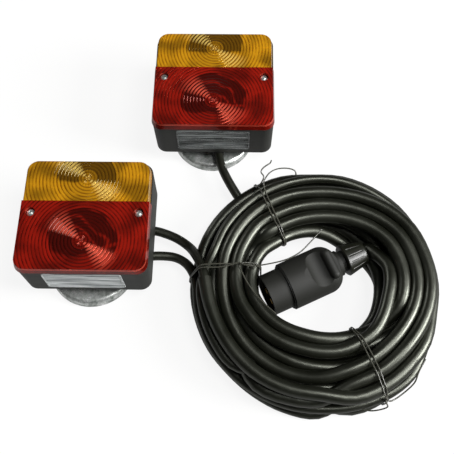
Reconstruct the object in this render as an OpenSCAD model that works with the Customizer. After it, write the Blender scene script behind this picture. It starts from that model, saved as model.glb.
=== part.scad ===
// Magnetic towing light set: two square rear lamps on magnet feet, their cables,
// one loose coil of cable held by three wire ties, and a seven-pin plug in the coil.
// Both lamps lie on their magnets with the lens up. +Z is up, +Y is away from the
// number-plate windows. The origin is under the middle of the two lamps, on the surface.

/* [Lamp] */
// Width of a lamp over the rim of its lens
lamp_w = 105; // [96:1:126]
// Height of a lamp over the rim of its lens
lamp_h = 98; // [92:1:118]
// Depth of the base moulding
base_depth = 38.5; // [36:0.5:46]
// Wall of the base moulding
base_wall = 2.2; // [1.8:0.1:2.8]
// How far each side of the base draws in towards its back
base_draft = 0.5; // [0.3:0.1:2]
// Corner radius of lamp and lens
corner_r = 9; // [6:0.5:11]
// Thickness of the rubber seal between base and lens
seal_t = 0.8; // [0.5:0.1:1.5]

/* [Lens] */
// Depth of the lens, from its rim to its face
lens_depth = 6.8; // [6:0.1:9]
// Thickness of the lens face over the flutes
lens_t = 2; // [1.6:0.1:2.4]
// How far each side of the lens draws in towards its face
lens_draft = 1.2; // [0.5:0.1:2]
// Height of the line where amber meets red, above the middle of the lamp
colour_line_y = 10.7; // [9:0.1:13]
// How far the amber lens stands back from the red one at its sides
amber_step = 1.2; // [0:0.1:1.6]
// Pitch of the ring flutes
flute_pitch = 2.2; // [1.8:0.1:3]
// Depth of the ring flutes
flute_depth = 0.55; // [0.3:0.05:0.8]
// Distance of each lens screw from the middle of the lamp
lens_screw_x = 43.4; // [41:0.1:44]
// Height of the lens screws above the middle of the lamp
lens_screw_y = 0.9; // [-2:0.1:3]
// Diameter of the well round each lens screw
screw_well_d = 8; // [7:0.5:9]

/* [Number plate window] */
// Width of the window
window_w = 63; // [50:1:70]
// Height of the window
window_h = 30; // [24:1:31]
// Corner radius of the window
window_r = 3; // [2:0.5:5]
// Thickness of the window
window_t = 2.4; // [2:0.1:3]
// Pitch of the horizontal flutes in the window
window_flute = 3; // [2:0.5:5]

/* [Bulbs] */
// Diameter of a bulb's glass
bulb_d = 25; // [22:1:26]
// Length of a bulb's glass
bulb_l = 32; // [28:1:35]
// Diameter of a bulb's cap
cap_d = 15; // [14:0.5:15]
// Length of a bulb's cap
cap_l = 18; // [15:1:19]
// Height of the indicator bulb above the middle of the lamp
indicator_y = 31.2; // [30:0.1:33]
// Height of the stop and tail bulb, below the middle of the lamp
stop_y = -23.5; // [-25:0.1:-20]

/* [Magnet foot] */
// Diameter of the magnet cup
magnet_d = 74; // [60:1:80]
// Height of the magnet cup
magnet_h = 8; // [7.5:0.5:10]
// Free height between magnet cup and lamp, where the cables leave
foot_gap = 9.5; // [9.5:0.5:14]
// Sideways place of the magnet under its lamp
magnet_x = -1.8; // [-4:0.1:4]
// Place of the magnet towards the window side
magnet_y = -20.8; // [-26:0.1:-18]
// Diameter of the magnet's bolt
bolt_d = 5; // [4:0.5:6]

/* [Layout] */
// Sideways distance between the lamps
lamp_dx = 100; // [90:1:140]
// Distance between the lamps, front to back
lamp_dy = 131; // [125:1:160]

/* [Cables] */
// Diameter of the cables at the lamps
lead_d = 8; // [6.5:0.5:8]
// Diameter of the main cable in its outer sheath
main_d = 11; // [9:0.5:12]
// Outer radius of the coil
coil_r = 104; // [100:1:110]
// Inner radius of the coil
coil_hole_r = 54; // [54:0.5:58]
// Height of the coil
coil_h = 39; // [34:1:44]
// Diameter of the tie wire
tie_d = 1.2; // [0.8:0.1:1.4]

/* [Plug] */
// Diameter of the plug's nose
nose_d = 34.5; // [33:0.5:36]
// Length of the plug's nose
nose_l = 17; // [16:1:20]
// Diameter of the plug's body
body_d = 40; // [39:0.5:43]
// Length of the plug's body
body_l = 48; // [42:1:50]
// Diameter of the gland nut
nut_d = 27; // [25:0.5:28]
// Diameter of the gland nut at its cable end
nut_end_d = 21; // [20:0.5:24]
// Length of the gland nut
nut_l = 19; // [15:1:20]
// Diameter of a plug pin
pin_d = 5; // [4:0.5:5]
// Radius of the circle of pins
pin_circle_r = 9.5; // [8:0.1:10]

/* [Hidden] */
$fn = 96;

// Running clearance between pieces that slide together, and a hair of overlap for cuts
fit = 0.2;
eps = 0.05;

// Levels of the lamp, from the surface up
base_z = magnet_h + foot_gap;
rim_z = base_z + base_depth;
lens_z = rim_z + seal_t;
face_z = lens_z + lens_depth;
floor_z = base_z + base_wall;
carrier_t = 2;
carrier_z = floor_z + 3.8;
bulb_z = carrier_z + carrier_t + 2 + bulb_d / 2 + 0.5;
reflector_t = 1.2;
reflector_z = bulb_z + cap_d / 2 + 2.8;

// Plan of the lamp
base_w = lamp_w - 1;
base_h = lamp_h - 1;
corner_seg = 32;

// Screws, bosses and posts
lens_screw_d = 3;
head_d = 6;
head_h = 2.2;
well_depth = 3.2;
boss_d = 7.2;
post_d = 5;
post_x = lamp_w / 2 - 8.5;
post_y = lamp_h / 2 - 8;
carrier_post_x = 34;
carrier_post_y = 33;
carrier_w = 2 * (lens_screw_x - boss_d / 2 - 1);
carrier_h = 2 * (post_y - post_d / 2 - 1);

// Sockets hold the caps; the glass starts where the cap ends
glass_x0 = -bulb_l / 2 - 1;
cap_x0 = glass_x0 - cap_l;
socket_wall = 0.8;
socket_l = cap_l - 2;
bayonet_pin_d = 2;
bayonet_in = 9;

// Cable elbows under each lamp: x, y and heading of each spout, from the lamp's middle
elbow_d = 13;
elbow_reach = 10.5;
elbow_z = magnet_h + foot_gap / 2;
elbow_neck_d = 10;
spout_d = lead_d + 1.2;
LEFT_ELBOWS = [[33, 13, -20], [33, -17, 3]];
RIGHT_ELBOWS = [[3, -37.5, -82]];

// Centres of the lamps: the two lamps and their magnets are centred on the origin
lamp_back = lamp_h / 2;
lamp_front = magnet_d / 2 - magnet_y;
lamp_shift = (lamp_front - lamp_back) / 2;
left_at = [-lamp_dx / 2, -lamp_dy / 2 + lamp_shift, 0];
right_at = [lamp_dx / 2, lamp_dy / 2 + lamp_shift, 0];

// Coil and plug
coil_at = [136.5, -105, 0];
plug_at = [136.7, -94.1, body_d / 2];
plug_turn = 26;
plug_roll = 8;
neck_l = 6;
plug_l = nose_l + body_l + neck_l + nut_l;
plug_u0 = -plug_l / 2;
nose_wall = 2.5;
coil_edge_r = 12;

// A lead starts inside its elbow's spout and ends against the coil's outer wall.
// Between them it passes the points in its list, which are measured from the lamp's middle.
lead_in = 3;
lead_gap = 0.3;
function spout_point(at, e, d) = [
    at[0] + e[0] + d * cos(e[2]), at[1] + e[1] + d * sin(e[2]), elbow_z
];
function coil_point(a, d, z) = [
    coil_at[0] + (coil_r + d) * cos(a), coil_at[1] + (coil_r + d) * sin(a), z
];
function lead_route(at, e, passed, a, z) = concat(
    [spout_point(at, e, elbow_reach - lead_in), spout_point(at, e, elbow_reach + 4)],
    [for (q = passed) [at[0] + q[0], at[1] + q[1], q[2]]],
    [coil_point(a, 8, z), coil_point(a, 4, z), coil_point(a, lead_gap, z)]
);
LEFT_MAIN_PASSES = [[57, 6, 12], [70, 1, 13]];
LEFT_LINK_PASSES = [[58, -16, 12], [69, -16, 12]];
RIGHT_LINK_PASSES = [[5, -61, 12.5], [8, -76, 13]];

// Rings of tube in each stretch between two route points
ring_steps = 2;
tube_sides = 12;
wire_sides = 8;

// Plain vector helpers
function unit(v) = v / norm(v);
function turned(n, a, b) =
    let (v = cross(a, b), c = a * b)
    n * c + cross(v, n) + v * (v * n) / (1 + c);

// Point on a smooth curve through the route's points, i counting stretches, t from 0 to 1
function route_point(p, i, t) =
    let (
        a = p[max(i - 1, 0)],
        b = p[i],
        c = p[i + 1],
        d = p[min(i + 2, len(p) - 1)]
    )
    0.5 * (2 * b + (c - a) * t + (2 * a - 5 * b + 4 * c - d) * t * t
        + (3 * b - a - 3 * c + d) * t * t * t);
function smooth_route(p, steps) = concat(
    [for (i = [0:len(p) - 2]) for (k = [0:steps - 1]) route_point(p, i, k / steps)],
    [p[len(p) - 1]]
);
function headings(p) = [
    for (i = [0:len(p) - 1]) unit(p[min(i + 1, len(p) - 1)] - p[max(i - 1, 0)])
];
function side_vectors(t, n, i) = i >= len(t) ? [] : concat(
    [n],
    side_vectors(t, i + 1 < len(t) ? turned(n, t[i], t[i + 1]) : n, i + 1)
);

// A closed tube of radius r along points p, swept with a frame that never twists
module swept_tube(p, r, sides) {
    t = headings(p);
    first = unit(cross(t[0], abs(t[0][2]) > 0.9 ? [1, 0, 0] : [0, 0, 1]));
    n = side_vectors(t, first, 0);
    count = len(p);
    rings = [
        for (i = [0:count - 1])
        for (k = [0:sides - 1])
        let (a = 360 * k / sides)
        p[i] + r * (cos(a) * n[i] + sin(a) * cross(t[i], n[i]))
    ];
    wall = [
        for (i = [0:count - 2])
        for (k = [0:sides - 1])
        let (
            a = i * sides + k,
            b = i * sides + (k + 1) % sides
        )
        each [[a, b, a + sides], [b, b + sides, a + sides]]
    ];
    caps = [
        [for (k = [sides - 1:-1:0]) k],
        [for (k = [0:sides - 1]) (count - 1) * sides + k]
    ];
    polyhedron(points = rings, faces = concat([for (f = wall) [f[0], f[2], f[1]]],
        [for (f = caps) [for (j = [len(f) - 1:-1:0]) f[j]]]), convexity = 8);
}

// A rectangle with round corners, centred on the origin
module round_rect(w, h, r) {
    square([w - 2 * r, h], center = true);
    square([w, h - 2 * r], center = true);
    for (x = [-1, 1], y = [-1, 1]) {
        translate([x * (w / 2 - r), y * (h / 2 - r)])
            circle(r = r);
    }
}

// A thin plate of that outline, as one end of a drafted solid
module end_plate(w, h, r, z) {
    translate([0, 0, z])
        linear_extrude(eps)
            round_rect(w, h, r, $fn = corner_seg);
}

// Drafted solid between two outlines
module drafted(w0, h0, r0, z0, w1, h1, r1, z1) {
    hull() {
        end_plate(w0, h0, r0, z0);
        end_plate(w1, h1, r1, z1 - eps);
    }
}

module tube(d_out, d_in, h) {
    difference() {
        cylinder(d = d_out, h = h);
        translate([0, 0, -eps])
            cylinder(d = d_in, h = h + 2 * eps);
    }
}

// Turns a module drawn along +Z so that it lies along +X
module along_x() {
    rotate([0, 90, 0])
        children();
}

// Outline in the plane of the number-plate side, drawn upright
module plate_side(y) {
    translate([0, y, 0])
        rotate([90, 0, 0])
            children();
}

window_z = rim_z - 1.5 - window_h / 2;

module window_outline(grow) {
    translate([0, window_z])
        round_rect(window_w + 2 * grow, window_h + 2 * grow, window_r + grow);
}

module base_shell() {
    difference() {
        drafted(base_w - 2 * base_draft, base_h - 2 * base_draft, corner_r, base_z,
            base_w, base_h, corner_r, rim_z);
        drafted(base_w - 2 * base_draft - 2 * base_wall, base_h - 2 * base_draft - 2 * base_wall,
            corner_r - base_wall, floor_z,
            base_w - 2 * base_wall, base_h - 2 * base_wall, corner_r - base_wall, rim_z + 1);
    }
}

module screw_bosses() {
    for (x = [-1, 1]) {
        translate([x * lens_screw_x, lens_screw_y, base_z + eps])
            cylinder(d = boss_d, h = base_depth - eps);
        translate([x * (lens_screw_x + 2), lens_screw_y, (floor_z + rim_z) / 2])
            cube([7, 2, rim_z - floor_z], center = true);
    }
}

module reflector_posts() {
    for (x = [-1, 1], y = [-1, 1]) {
        translate([x * post_x, y * post_y, base_z + eps])
            cylinder(d = post_d, h = reflector_z - base_z - eps);
    }
}

module carrier_posts() {
    for (x = [-1, 1], y = [-1, 1]) {
        translate([x * carrier_post_x, y * carrier_post_y, base_z + eps])
            cylinder(d = post_d, h = carrier_z - base_z - eps);
    }
}

// One-piece base: tray, bosses and posts, with the openings for window, screws and cables
module base_housing(elbows) {
    color("#23241f")
    difference() {
        union() {
            base_shell();
            screw_bosses();
            reflector_posts();
            carrier_posts();
            translate([magnet_x, magnet_y, base_z + eps])
                cylinder(d = 14, h = base_wall + 0.8 - eps);
        }
        plate_side(-base_h / 2 + 8)
            linear_extrude(12)
                window_outline(fit);
        for (x = [-1, 1]) {
            translate([x * lens_screw_x, lens_screw_y, rim_z - 14])
                cylinder(d = lens_screw_d, h = 15);
        }
        translate([magnet_x, magnet_y, base_z - 1])
            cylinder(d = bolt_d + 2 * fit, h = base_wall + 3);
        for (e = elbows) {
            translate([e[0], e[1], base_z - 1])
                cylinder(d = elbow_neck_d + 2 * fit, h = base_wall + 2);
        }
    }
}

// Rim gasket between base and lens, notched round the screw bosses
module lens_seal() {
    color("#161616")
    translate([0, 0, rim_z])
        difference() {
            linear_extrude(seal_t)
                difference() {
                    round_rect(base_w - 0.4, base_h - 0.4, corner_r - 0.2);
                    round_rect(base_w - 2 * base_wall - 1, base_h - 2 * base_wall - 1,
                        corner_r - base_wall - 0.5);
                }
            for (x = [-1, 1]) {
                translate([x * lens_screw_x, lens_screw_y, -1])
                    cylinder(d = 4, h = 3);
            }
        }
}

// The lens as a drafted tray, open to the base, stepped in all round by inset
module lens_blank(inset) {
    w = lamp_w - 2 * inset;
    h = lamp_h - 2 * inset;
    difference() {
        drafted(w, h, corner_r, lens_z,
            w - 2 * lens_draft, h - 2 * lens_draft, corner_r, face_z);
        drafted(w - 2 * lens_t, h - 2 * lens_t, corner_r - lens_t, lens_z - 1,
            w - 2 * lens_draft - 2 * lens_t, h - 2 * lens_draft - 2 * lens_t,
            corner_r - lens_t, face_z - lens_t);
    }
}

// Ring flutes: cut from below, each a V round the centre of its bulb
module ring_cutter(centre_y, reach) {
    count = floor(reach / flute_pitch);
    translate([0, centre_y, face_z - lens_t - eps])
        rotate_extrude()
            polygon(concat(
                [[0, 0]],
                [for (i = [0:count - 1]) each [
                    [i * flute_pitch + 0.01, 0],
                    [(i + 0.5) * flute_pitch, flute_depth + eps]
                ]],
                [[count * flute_pitch, 0]]
            ));
}

// Keeps one colour's side of the lens
module colour_side(upper) {
    depth = lamp_h;
    y0 = upper ? colour_line_y : colour_line_y - depth;
    translate([-lamp_w, y0, lens_z - 2])
        cube([2 * lamp_w, depth, lens_depth + 4]);
}

// Keeps the flutes inside the lens walls and inside their own colour
module flute_field(upper) {
    margin = 1.2 + (upper ? amber_step : 0);
    y_top = lamp_h / 2 - lens_t - lens_draft - margin;
    y0 = upper ? colour_line_y + margin : -y_top;
    y1 = upper ? y_top : colour_line_y - margin;
    half_w = lamp_w / 2 - lens_t - lens_draft - margin;
    difference() {
        translate([-half_w, y0, face_z - lens_t - 1])
            cube([2 * half_w, y1 - y0, 2 + flute_depth]);
        for (x = [-1, 1]) {
            translate([x * lens_screw_x, lens_screw_y, face_z - lens_t - 2])
                cylinder(d = screw_well_d + 4, h = 4 + flute_depth);
        }
    }
}

module lens_amber() {
    color("#d99a1c")
    difference() {
        intersection() {
            lens_blank(amber_step);
            colour_side(true);
        }
        intersection() {
            ring_cutter(indicator_y, lamp_w / 2 + 4);
            flute_field(true);
        }
    }
}

// The red lens also carries the wells and columns of the two lens screws
module lens_red() {
    color("#b01c14")
    difference() {
        union() {
            intersection() {
                lens_blank(0);
                colour_side(false);
            }
            for (x = [-1, 1]) {
                translate([x * lens_screw_x, lens_screw_y, lens_z])
                    cylinder(d = screw_well_d + 1.6, h = lens_depth - 0.4);
            }
        }
        intersection() {
            ring_cutter(stop_y, lamp_w / 2 + 12);
            flute_field(false);
        }
        for (x = [-1, 1]) {
            translate([x * lens_screw_x, lens_screw_y, face_z - well_depth])
                cylinder(d = screw_well_d, h = well_depth + 1);
            translate([x * lens_screw_x, lens_screw_y, lens_z - 1])
                cylinder(d = lens_screw_d + 2 * fit, h = lens_depth);
        }
    }
}

// Raised-head cross-slot screws
module lens_screws() {
    color("#b9bcbd")
    for (x = [-1, 1]) {
        translate([x * lens_screw_x, lens_screw_y, 0])
            lens_screw();
    }
}

module lens_screw() {
    seat_z = face_z - well_depth;
    cross_w = 0.9;
    cross_l = 3.4;
    difference() {
        union() {
            translate([0, 0, rim_z - 9])
                cylinder(d = lens_screw_d - 2 * fit, h = seat_z - rim_z + 9 + eps);
            intersection() {
                translate([0, 0, seat_z])
                    cylinder(d = head_d, h = head_h);
                translate([0, 0, seat_z + head_h - 4])
                    sphere(r = 4.1);
            }
        }
        for (a = [0, 90]) {
            rotate([0, 0, a])
                translate([0, 0, seat_z + head_h])
                    cube([cross_l, cross_w, 2.2], center = true);
        }
    }
}

// Clear window: its frame stands a little proud and its face is fluted
module plate_window() {
    proud = 0.6;
    lip = 1.3;
    face_y = -base_h / 2 - proud + base_draft * (rim_z - window_z) / base_depth;
    color("#b8bcc0")
    difference() {
        plate_side(face_y + window_t + proud)
            linear_extrude(window_t + proud)
                window_outline(0);
        difference() {
            for (z = [window_z - window_h / 2 + lip + window_flute / 2 : window_flute
                : window_z + window_h / 2 - lip - window_flute / 2]) {
                translate([-window_w / 2 + lip, face_y - 0.4, z])
                    along_x()
                        cylinder(d = window_flute * 0.8, h = window_w - 2 * lip);
            }
        }
    }
}

// Pressed reflector: flat wings with two bulb openings and the wall between the colours
module reflector() {
    w = 2 * (post_x + 2.6);
    h = 2 * (post_y + 2.6);
    wall_top = face_z - lens_t - 0.5;
    color("#c9c9c4")
    difference() {
        union() {
            translate([0, 0, reflector_z])
                linear_extrude(reflector_t)
                    difference() {
                        round_rect(w, h, 5);
                        indicator_opening();
                        stop_opening();
                    }
            translate([-lens_screw_x + 8, colour_line_y - reflector_t / 2, carrier_z + carrier_t + 1])
                cube([2 * lens_screw_x - 16, reflector_t, wall_top - carrier_z - carrier_t - 1]);
        }
        for (x = [-1, 1]) {
            translate([x * lens_screw_x, lens_screw_y, reflector_z - 1])
                cylinder(d = boss_d + 4 * fit, h = 4);
            translate([x * (lens_screw_x + 4), lens_screw_y, reflector_z])
                cube([8, 2 + 4 * fit, 4], center = true);
        }
    }
}

opening_r = 24.6;
opening_edge = 2;

module indicator_opening() {
    intersection() {
        translate([0, indicator_y])
            circle(r = opening_r);
        translate([-lamp_w / 2, colour_line_y + opening_edge + 3])
            square([lamp_w, post_y - colour_line_y - opening_edge - 4]);
    }
}

module stop_opening() {
    intersection() {
        translate([0, stop_y])
            circle(r = opening_r + 2);
        translate([-lamp_w / 2, -post_y])
            square([lamp_w, post_y + colour_line_y - opening_edge - 4]);
    }
}

// Insulating board with a cradle for each bulb socket
module bulb_carrier() {
    cradle_w = 8;
    cradle_x = cap_x0 + socket_l / 2;
    color("#4a4b47")
    difference() {
        union() {
            translate([0, 0, carrier_z])
                linear_extrude(carrier_t)
                    round_rect(carrier_w, carrier_h, 4);
            for (y = [indicator_y, stop_y]) {
                translate([cradle_x - cradle_w / 2, y - cap_d / 2 - 4, carrier_z])
                    cube([cradle_w, cap_d + 8, bulb_z - carrier_z]);
            }
        }
        for (y = [indicator_y, stop_y]) {
            translate([cap_x0 - 8, y, bulb_z])
                along_x()
                    cylinder(d = cap_d + 2 * socket_wall + 0.1, h = cap_l + 16);
        }
        translate([magnet_x, magnet_y, carrier_z - 1])
            cylinder(d = 12, h = carrier_t + 2);
    }
}

// Pressed sleeves that take the bulb caps, each with two slots for the cap's pins
module bulb_sockets() {
    color("#c8a24a")
    for (y = [indicator_y, stop_y]) {
        translate([cap_x0 + 1, y, bulb_z])
            difference() {
                along_x()
                    tube(cap_d + 2 * socket_wall, cap_d + 0.1, socket_l);
                bayonet_slots();
            }
    }
}

// Slots from the sleeve's mouth to the pins, with the sideways step that locks them
module bayonet_slots() {
    slot_w = bayonet_pin_d + 2 * fit;
    slot_x = cap_l - bayonet_in - 1 - slot_w / 2;
    step = slot_w + 1.1;
    for (side = [-1, 1]) {
        translate([slot_x, min(0, side * step) - slot_w / 2, side * cap_d / 2 - cap_d / 4])
            cube([slot_w, step + slot_w, cap_d / 2]);
        translate([slot_x, side * step - slot_w / 2, side * cap_d / 2 - cap_d / 4])
            cube([socket_l, slot_w, cap_d / 2]);
    }
}

// Glass envelope: round end, straight middle, short neck into the cap
module bulb_glass() {
    r = bulb_d / 2;
    neck_r = cap_d / 2 - 0.6;
    neck = 4;
    translate([glass_x0, 0, bulb_z])
        along_x()
            rotate_extrude()
                intersection() {
                    union() {
                        square([neck_r, neck + 4]);
                        translate([0, bulb_l - r])
                            circle(r = r);
                        polygon([[0, neck], [neck_r, neck], [r, neck + 6], [r, bulb_l - r], [0, bulb_l - r]]);
                    }
                    square([r, bulb_l]);
                }
}

module indicator_bulb_glass() {
    color("#e8b45a")
    translate([0, indicator_y, 0])
        bulb_glass();
}

module stop_bulb_glass() {
    color("#dfe4e6")
    translate([0, stop_y, 0])
        bulb_glass();
}

// Metal cap with two bayonet pins and a solder contact
module bulb_cap(y) {
    color("#b8b08a")
    translate([cap_x0, y, bulb_z]) {
        along_x()
            cylinder(d = cap_d, h = cap_l);
        translate([cap_l - bayonet_in, 0, 0.1 - cap_d / 2 - socket_wall])
            cylinder(d = bayonet_pin_d, h = cap_d + 2 * socket_wall - 0.2);
        translate([-1.4, 0, 0])
            along_x()
                cylinder(d = 5, h = 1.5);
    }
}

// Sprung strips that press on the caps' contacts, standing on the carrier
module contact_springs() {
    strip_t = 0.5;
    strip_w = 7;
    foot_l = 10;
    contact_x = cap_x0 - 1.4 - strip_t;
    top_z = bulb_z + 3;
    color("#c9a044")
    for (y = [indicator_y, stop_y]) {
        translate([contact_x, y - strip_w / 2, carrier_z + carrier_t]) {
            cube([strip_t, strip_w, top_z - carrier_z - carrier_t]);
            cube([foot_l * 0.4, strip_w, strip_t]);
        }
    }
}

// Zinc-plated steel pot with a rounded shoulder, open below
module magnet_cup() {
    r = magnet_d / 2;
    wall = 2;
    shoulder = 4;
    color("#a9aeb0")
    translate([magnet_x, magnet_y, 0])
        rotate_extrude()
            difference() {
                union() {
                    square([r - shoulder, magnet_h]);
                    square([r, magnet_h - shoulder]);
                    translate([r - shoulder, magnet_h - shoulder])
                        circle(r = shoulder);
                }
                square([r - wall, magnet_h - wall]);
                square([bolt_d / 2 + fit, magnet_h + 1]);
                translate([-magnet_d, -magnet_d])
                    square([magnet_d, 3 * magnet_d]);
                translate([0, -magnet_d])
                    square([magnet_d, magnet_d]);
            }
}

// Ferrite ring pressed up into the pot
module magnet_ring() {
    wall = 2;
    side_gap = 1.5;
    lift = 0.4;
    color("#3a3a3c")
    translate([magnet_x, magnet_y, lift])
        tube(magnet_d - 2 * wall - 2 * side_gap, 26, magnet_h - wall - lift);
}

module magnet_spacer() {
    color("#2b2b2b")
    translate([magnet_x, magnet_y, magnet_h])
        tube(13, bolt_d + 2 * fit, foot_gap);
}

// Hexagon bolt, head inside the base
module magnet_bolt() {
    head = 3.4;
    head_z = floor_z + 0.8;
    point_z = 1.4;
    color("#b9bcbd")
    translate([magnet_x, magnet_y, 0]) {
        translate([0, 0, point_z])
            cylinder(d = bolt_d, h = head_z - point_z + eps);
        translate([0, 0, head_z])
            cylinder(d = bolt_d * 1.8, h = head, $fn = 6);
    }
}

module magnet_nut() {
    wall = 2;
    nut_h = 3.6;
    color("#b9bcbd")
    translate([magnet_x, magnet_y, magnet_h - wall - nut_h])
        difference() {
            cylinder(d = bolt_d * 1.8, h = nut_h, $fn = 6);
            translate([0, 0, -1])
                cylinder(d = bolt_d + fit, h = nut_h + 2);
        }
}

// Rubber elbow: neck through the base floor, body below it, spout along the heading
module cable_elbow(e) {
    body_z = magnet_h + 0.6;
    flange_h = 1.6;
    translate([e[0], e[1], 0])
        difference() {
            union() {
                translate([0, 0, body_z])
                    cylinder(d = elbow_d, h = base_z - body_z);
                translate([0, 0, base_z - 1])
                    cylinder(d = elbow_neck_d, h = base_wall + 1.5);
                translate([0, 0, floor_z])
                    cylinder(d = elbow_d, h = flange_h);
                translate([0, 0, elbow_z])
                    rotate([0, 90, e[2]])
                        cylinder(d = spout_d, h = elbow_reach);
            }
            translate([0, 0, elbow_z])
                rotate([0, 90, e[2]])
                    translate([0, 0, elbow_reach - lead_in - 1])
                        cylinder(d = lead_d + 2 * fit, h = lead_in + 2);
        }
}

module cable_elbows(elbows) {
    color("#1c1c1c")
    for (e = elbows) {
        cable_elbow(e);
    }
}

// Places a piece drawn along +X, from the nose's mouth, where the plug lies
module in_plug() {
    translate(plug_at)
        rotate([plug_roll, 0, plug_turn])
            translate([plug_u0, 0, 0])
                children();
}

module pin_places() {
    children();
    for (i = [0:5]) {
        rotate([60 * i + 30, 0, 0])
            translate([0, 0, pin_circle_r])
                children();
    }
}

flange_l = 4;
flange_d = nose_d + 1.5;
pin_face_u = 14;

// Front moulding: nose, contact carrier and the flange held by the body
module plug_front() {
    color("#262725")
    in_plug()
        difference() {
            union() {
                along_x()
                    cylinder(d = nose_d, h = nose_l + flange_l);
                translate([nose_l, 0, 0])
                    along_x()
                        cylinder(d = flange_d, h = flange_l);
            }
            translate([-1, 0, 0])
                along_x()
                    cylinder(d = nose_d - 2 * nose_wall, h = pin_face_u + 1);
            pin_places()
                translate([pin_face_u - 1, 0, 0])
                    along_x()
                        cylinder(d = pin_d + 0.1, h = nose_l + flange_l);
        }
}

// Seven contact pins
module plug_pins() {
    tip_u = 3;
    color("#c9b06a")
    in_plug()
        pin_places() {
            translate([tip_u, 0, 0])
                along_x()
                    cylinder(d = pin_d, h = nose_l + flange_l + 3 - tip_u);
        }
}

spigot_d = 18;
spigot_l = 12;
cable_bore = main_d + 2 * fit;

// Rear moulding: round body, a finger scoop in front of each grip bar, spigot for the nut
module plug_body() {
    r = body_d / 2;
    end_u = nose_l + body_l;
    cavity_r = 10.5;
    front_cavity_r = 14;
    front_cavity_l = 14;
    shoulder_r = 13;
    collar_u = end_u;
    collar_d = spigot_d + 4;
    flat_l = 24;
    flat_deep = 3.5;
    scoop_r = 12;
    scoop_deep = 6.5;
    bar_d = 8;
    bar_l = 26;
    bar_u = end_u - 9;
    bar_z = r - bar_d / 2 - 0.3;
    scoop_u = bar_u - bar_d / 2 - 5.5;
    color("#262725")
    in_plug()
        difference() {
            union() {
                difference() {
                    translate([nose_l, 0, 0])
                        along_x()
                            rotate_extrude()
                                intersection() {
                                    union() {
                                        square([r - 1, 1]);
                                        translate([0, 1])
                                            square([r, body_l - shoulder_r - 1]);
                                        translate([r - shoulder_r, body_l - shoulder_r])
                                            circle(r = shoulder_r);
                                        square([r - shoulder_r, body_l]);
                                    }
                                    square([r, body_l]);
                                }
                    for (side = [0, 180]) {
                        rotate([side, 0, 0]) {
                            translate([bar_u, 0, r - flat_deep])
                                rotate([0, atan(flat_deep / flat_l), 0])
                                    translate([-2 * flat_l, -r, 0])
                                        cube([2 * flat_l, body_d, r]);
                            translate([scoop_u, 0, r - scoop_deep + scoop_r])
                                rotate([90, 0, 0])
                                    cylinder(r = scoop_r, h = body_d, center = true);
                            translate([bar_u, -r, r - scoop_deep])
                                cube([body_l, body_d, r]);
                        }
                    }
                }
                for (side = [0, 180]) {
                    rotate([side, 0, 0])
                        translate([bar_u, 0, bar_z])
                            grip_bar(bar_d, bar_l);
                }
                translate([collar_u - 1, 0, 0])
                    along_x()
                        cylinder(d = collar_d, h = 3);
                translate([collar_u, 0, 0])
                    along_x()
                        cylinder(d = spigot_d, h = neck_l + spigot_l);
            }
            translate([nose_l - 1, 0, 0])
                along_x()
                    cylinder(d = nose_d + 2 * fit, h = 2);
            translate([nose_l - eps, 0, 0])
                along_x()
                    cylinder(d = flange_d + 2 * fit, h = flange_l + 2 * eps);
            translate([nose_l, 0, 0])
                along_x()
                    cylinder(r = front_cavity_r, h = front_cavity_l);
            translate([nose_l, 0, 0])
                along_x()
                    cylinder(r = cavity_r, h = body_l - 12);
            translate([nose_l, 0, 0])
                along_x()
                    cylinder(d = cable_bore, h = body_l + neck_l + spigot_l + 2);
        }
}

// Round-ended bar across the plug
module grip_bar(d, l) {
    rotate([90, 0, 0])
        cylinder(d = d, h = l - d, center = true);
    for (end = [-1, 1]) {
        translate([0, end * (l - d) / 2, 0])
            sphere(d = d);
    }
}

nut_u = nose_l + body_l + neck_l;

// Gland nut with finger flutes up to a plain end ring, drawn over the spigot
module gland_nut() {
    flutes = 14;
    end_wall = 4;
    chamfer = 1.2;
    end_ring = 3.5;
    taper = atan((nut_d - nut_end_d) / 2 / nut_l);
    color("#2a2b29")
    in_plug()
        translate([nut_u, 0, 0])
            along_x()
                difference() {
                    rotate_extrude()
                        polygon([
                            [0, 0], [nut_d / 2 - 1, 0], [nut_d / 2, 1],
                            [nut_end_d / 2, nut_l - chamfer],
                            [nut_end_d / 2 - chamfer, nut_l], [0, nut_l]
                        ]);
                    for (i = [0:flutes - 1]) {
                        rotate([0, 0, 360 * i / flutes])
                            translate([nut_d / 2 + 0.4, 0, 3])
                                rotate([0, -taper, 0])
                                    cylinder(d = 2.4, h = nut_l - end_ring - 3);
                    }
                    translate([0, 0, -1])
                        cylinder(d = spigot_d + 2 * fit, h = nut_l - end_wall + 1);
                    cylinder(d = cable_bore, h = nut_l + 1);
                }
}

// Rubber ring that the nut presses round the cable
module gland_seal() {
    seal_u = nut_u + spigot_l + fit;
    color("#1a1a1a")
    in_plug()
        translate([seal_u, 0, 0])
            along_x()
                tube(spigot_d, cable_bore, nut_u + nut_l - 4 - seal_u - fit);
}

// Outer shape of the coiled cable, grooved below for the tie wires
module cable_coil() {
    e = coil_edge_r;
    w = coil_r - coil_hole_r;
    color("#1b1b19")
    translate(coil_at)
        difference() {
            rotate_extrude()
                translate([coil_hole_r + w / 2, coil_h / 2])
                    round_rect(w, coil_h, e);
            for (a = TIE_ANGLES) {
                rotate([0, 0, a])
                    translate([coil_hole_r - 1, -tie_d, -1])
                        cube([w + 2, 2 * tie_d, 1 + tie_d + 2 * fit]);
            }
        }
}

// Ties: where each stands round the coil
TIE_ANGLES = [117, 172, 301];
tie_gap = 0.5;

// Corner of a tie's turn, in the tie's own plane: distance from the coil's middle, 0, height
function tie_corner(x, z, a0) = [
    for (k = [0:3])
    let (a = a0 + 30 * k, r = coil_edge_r + tie_d / 2 + tie_gap)
    [x + r * cos(a), 0, z + r * sin(a)]
];

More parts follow.
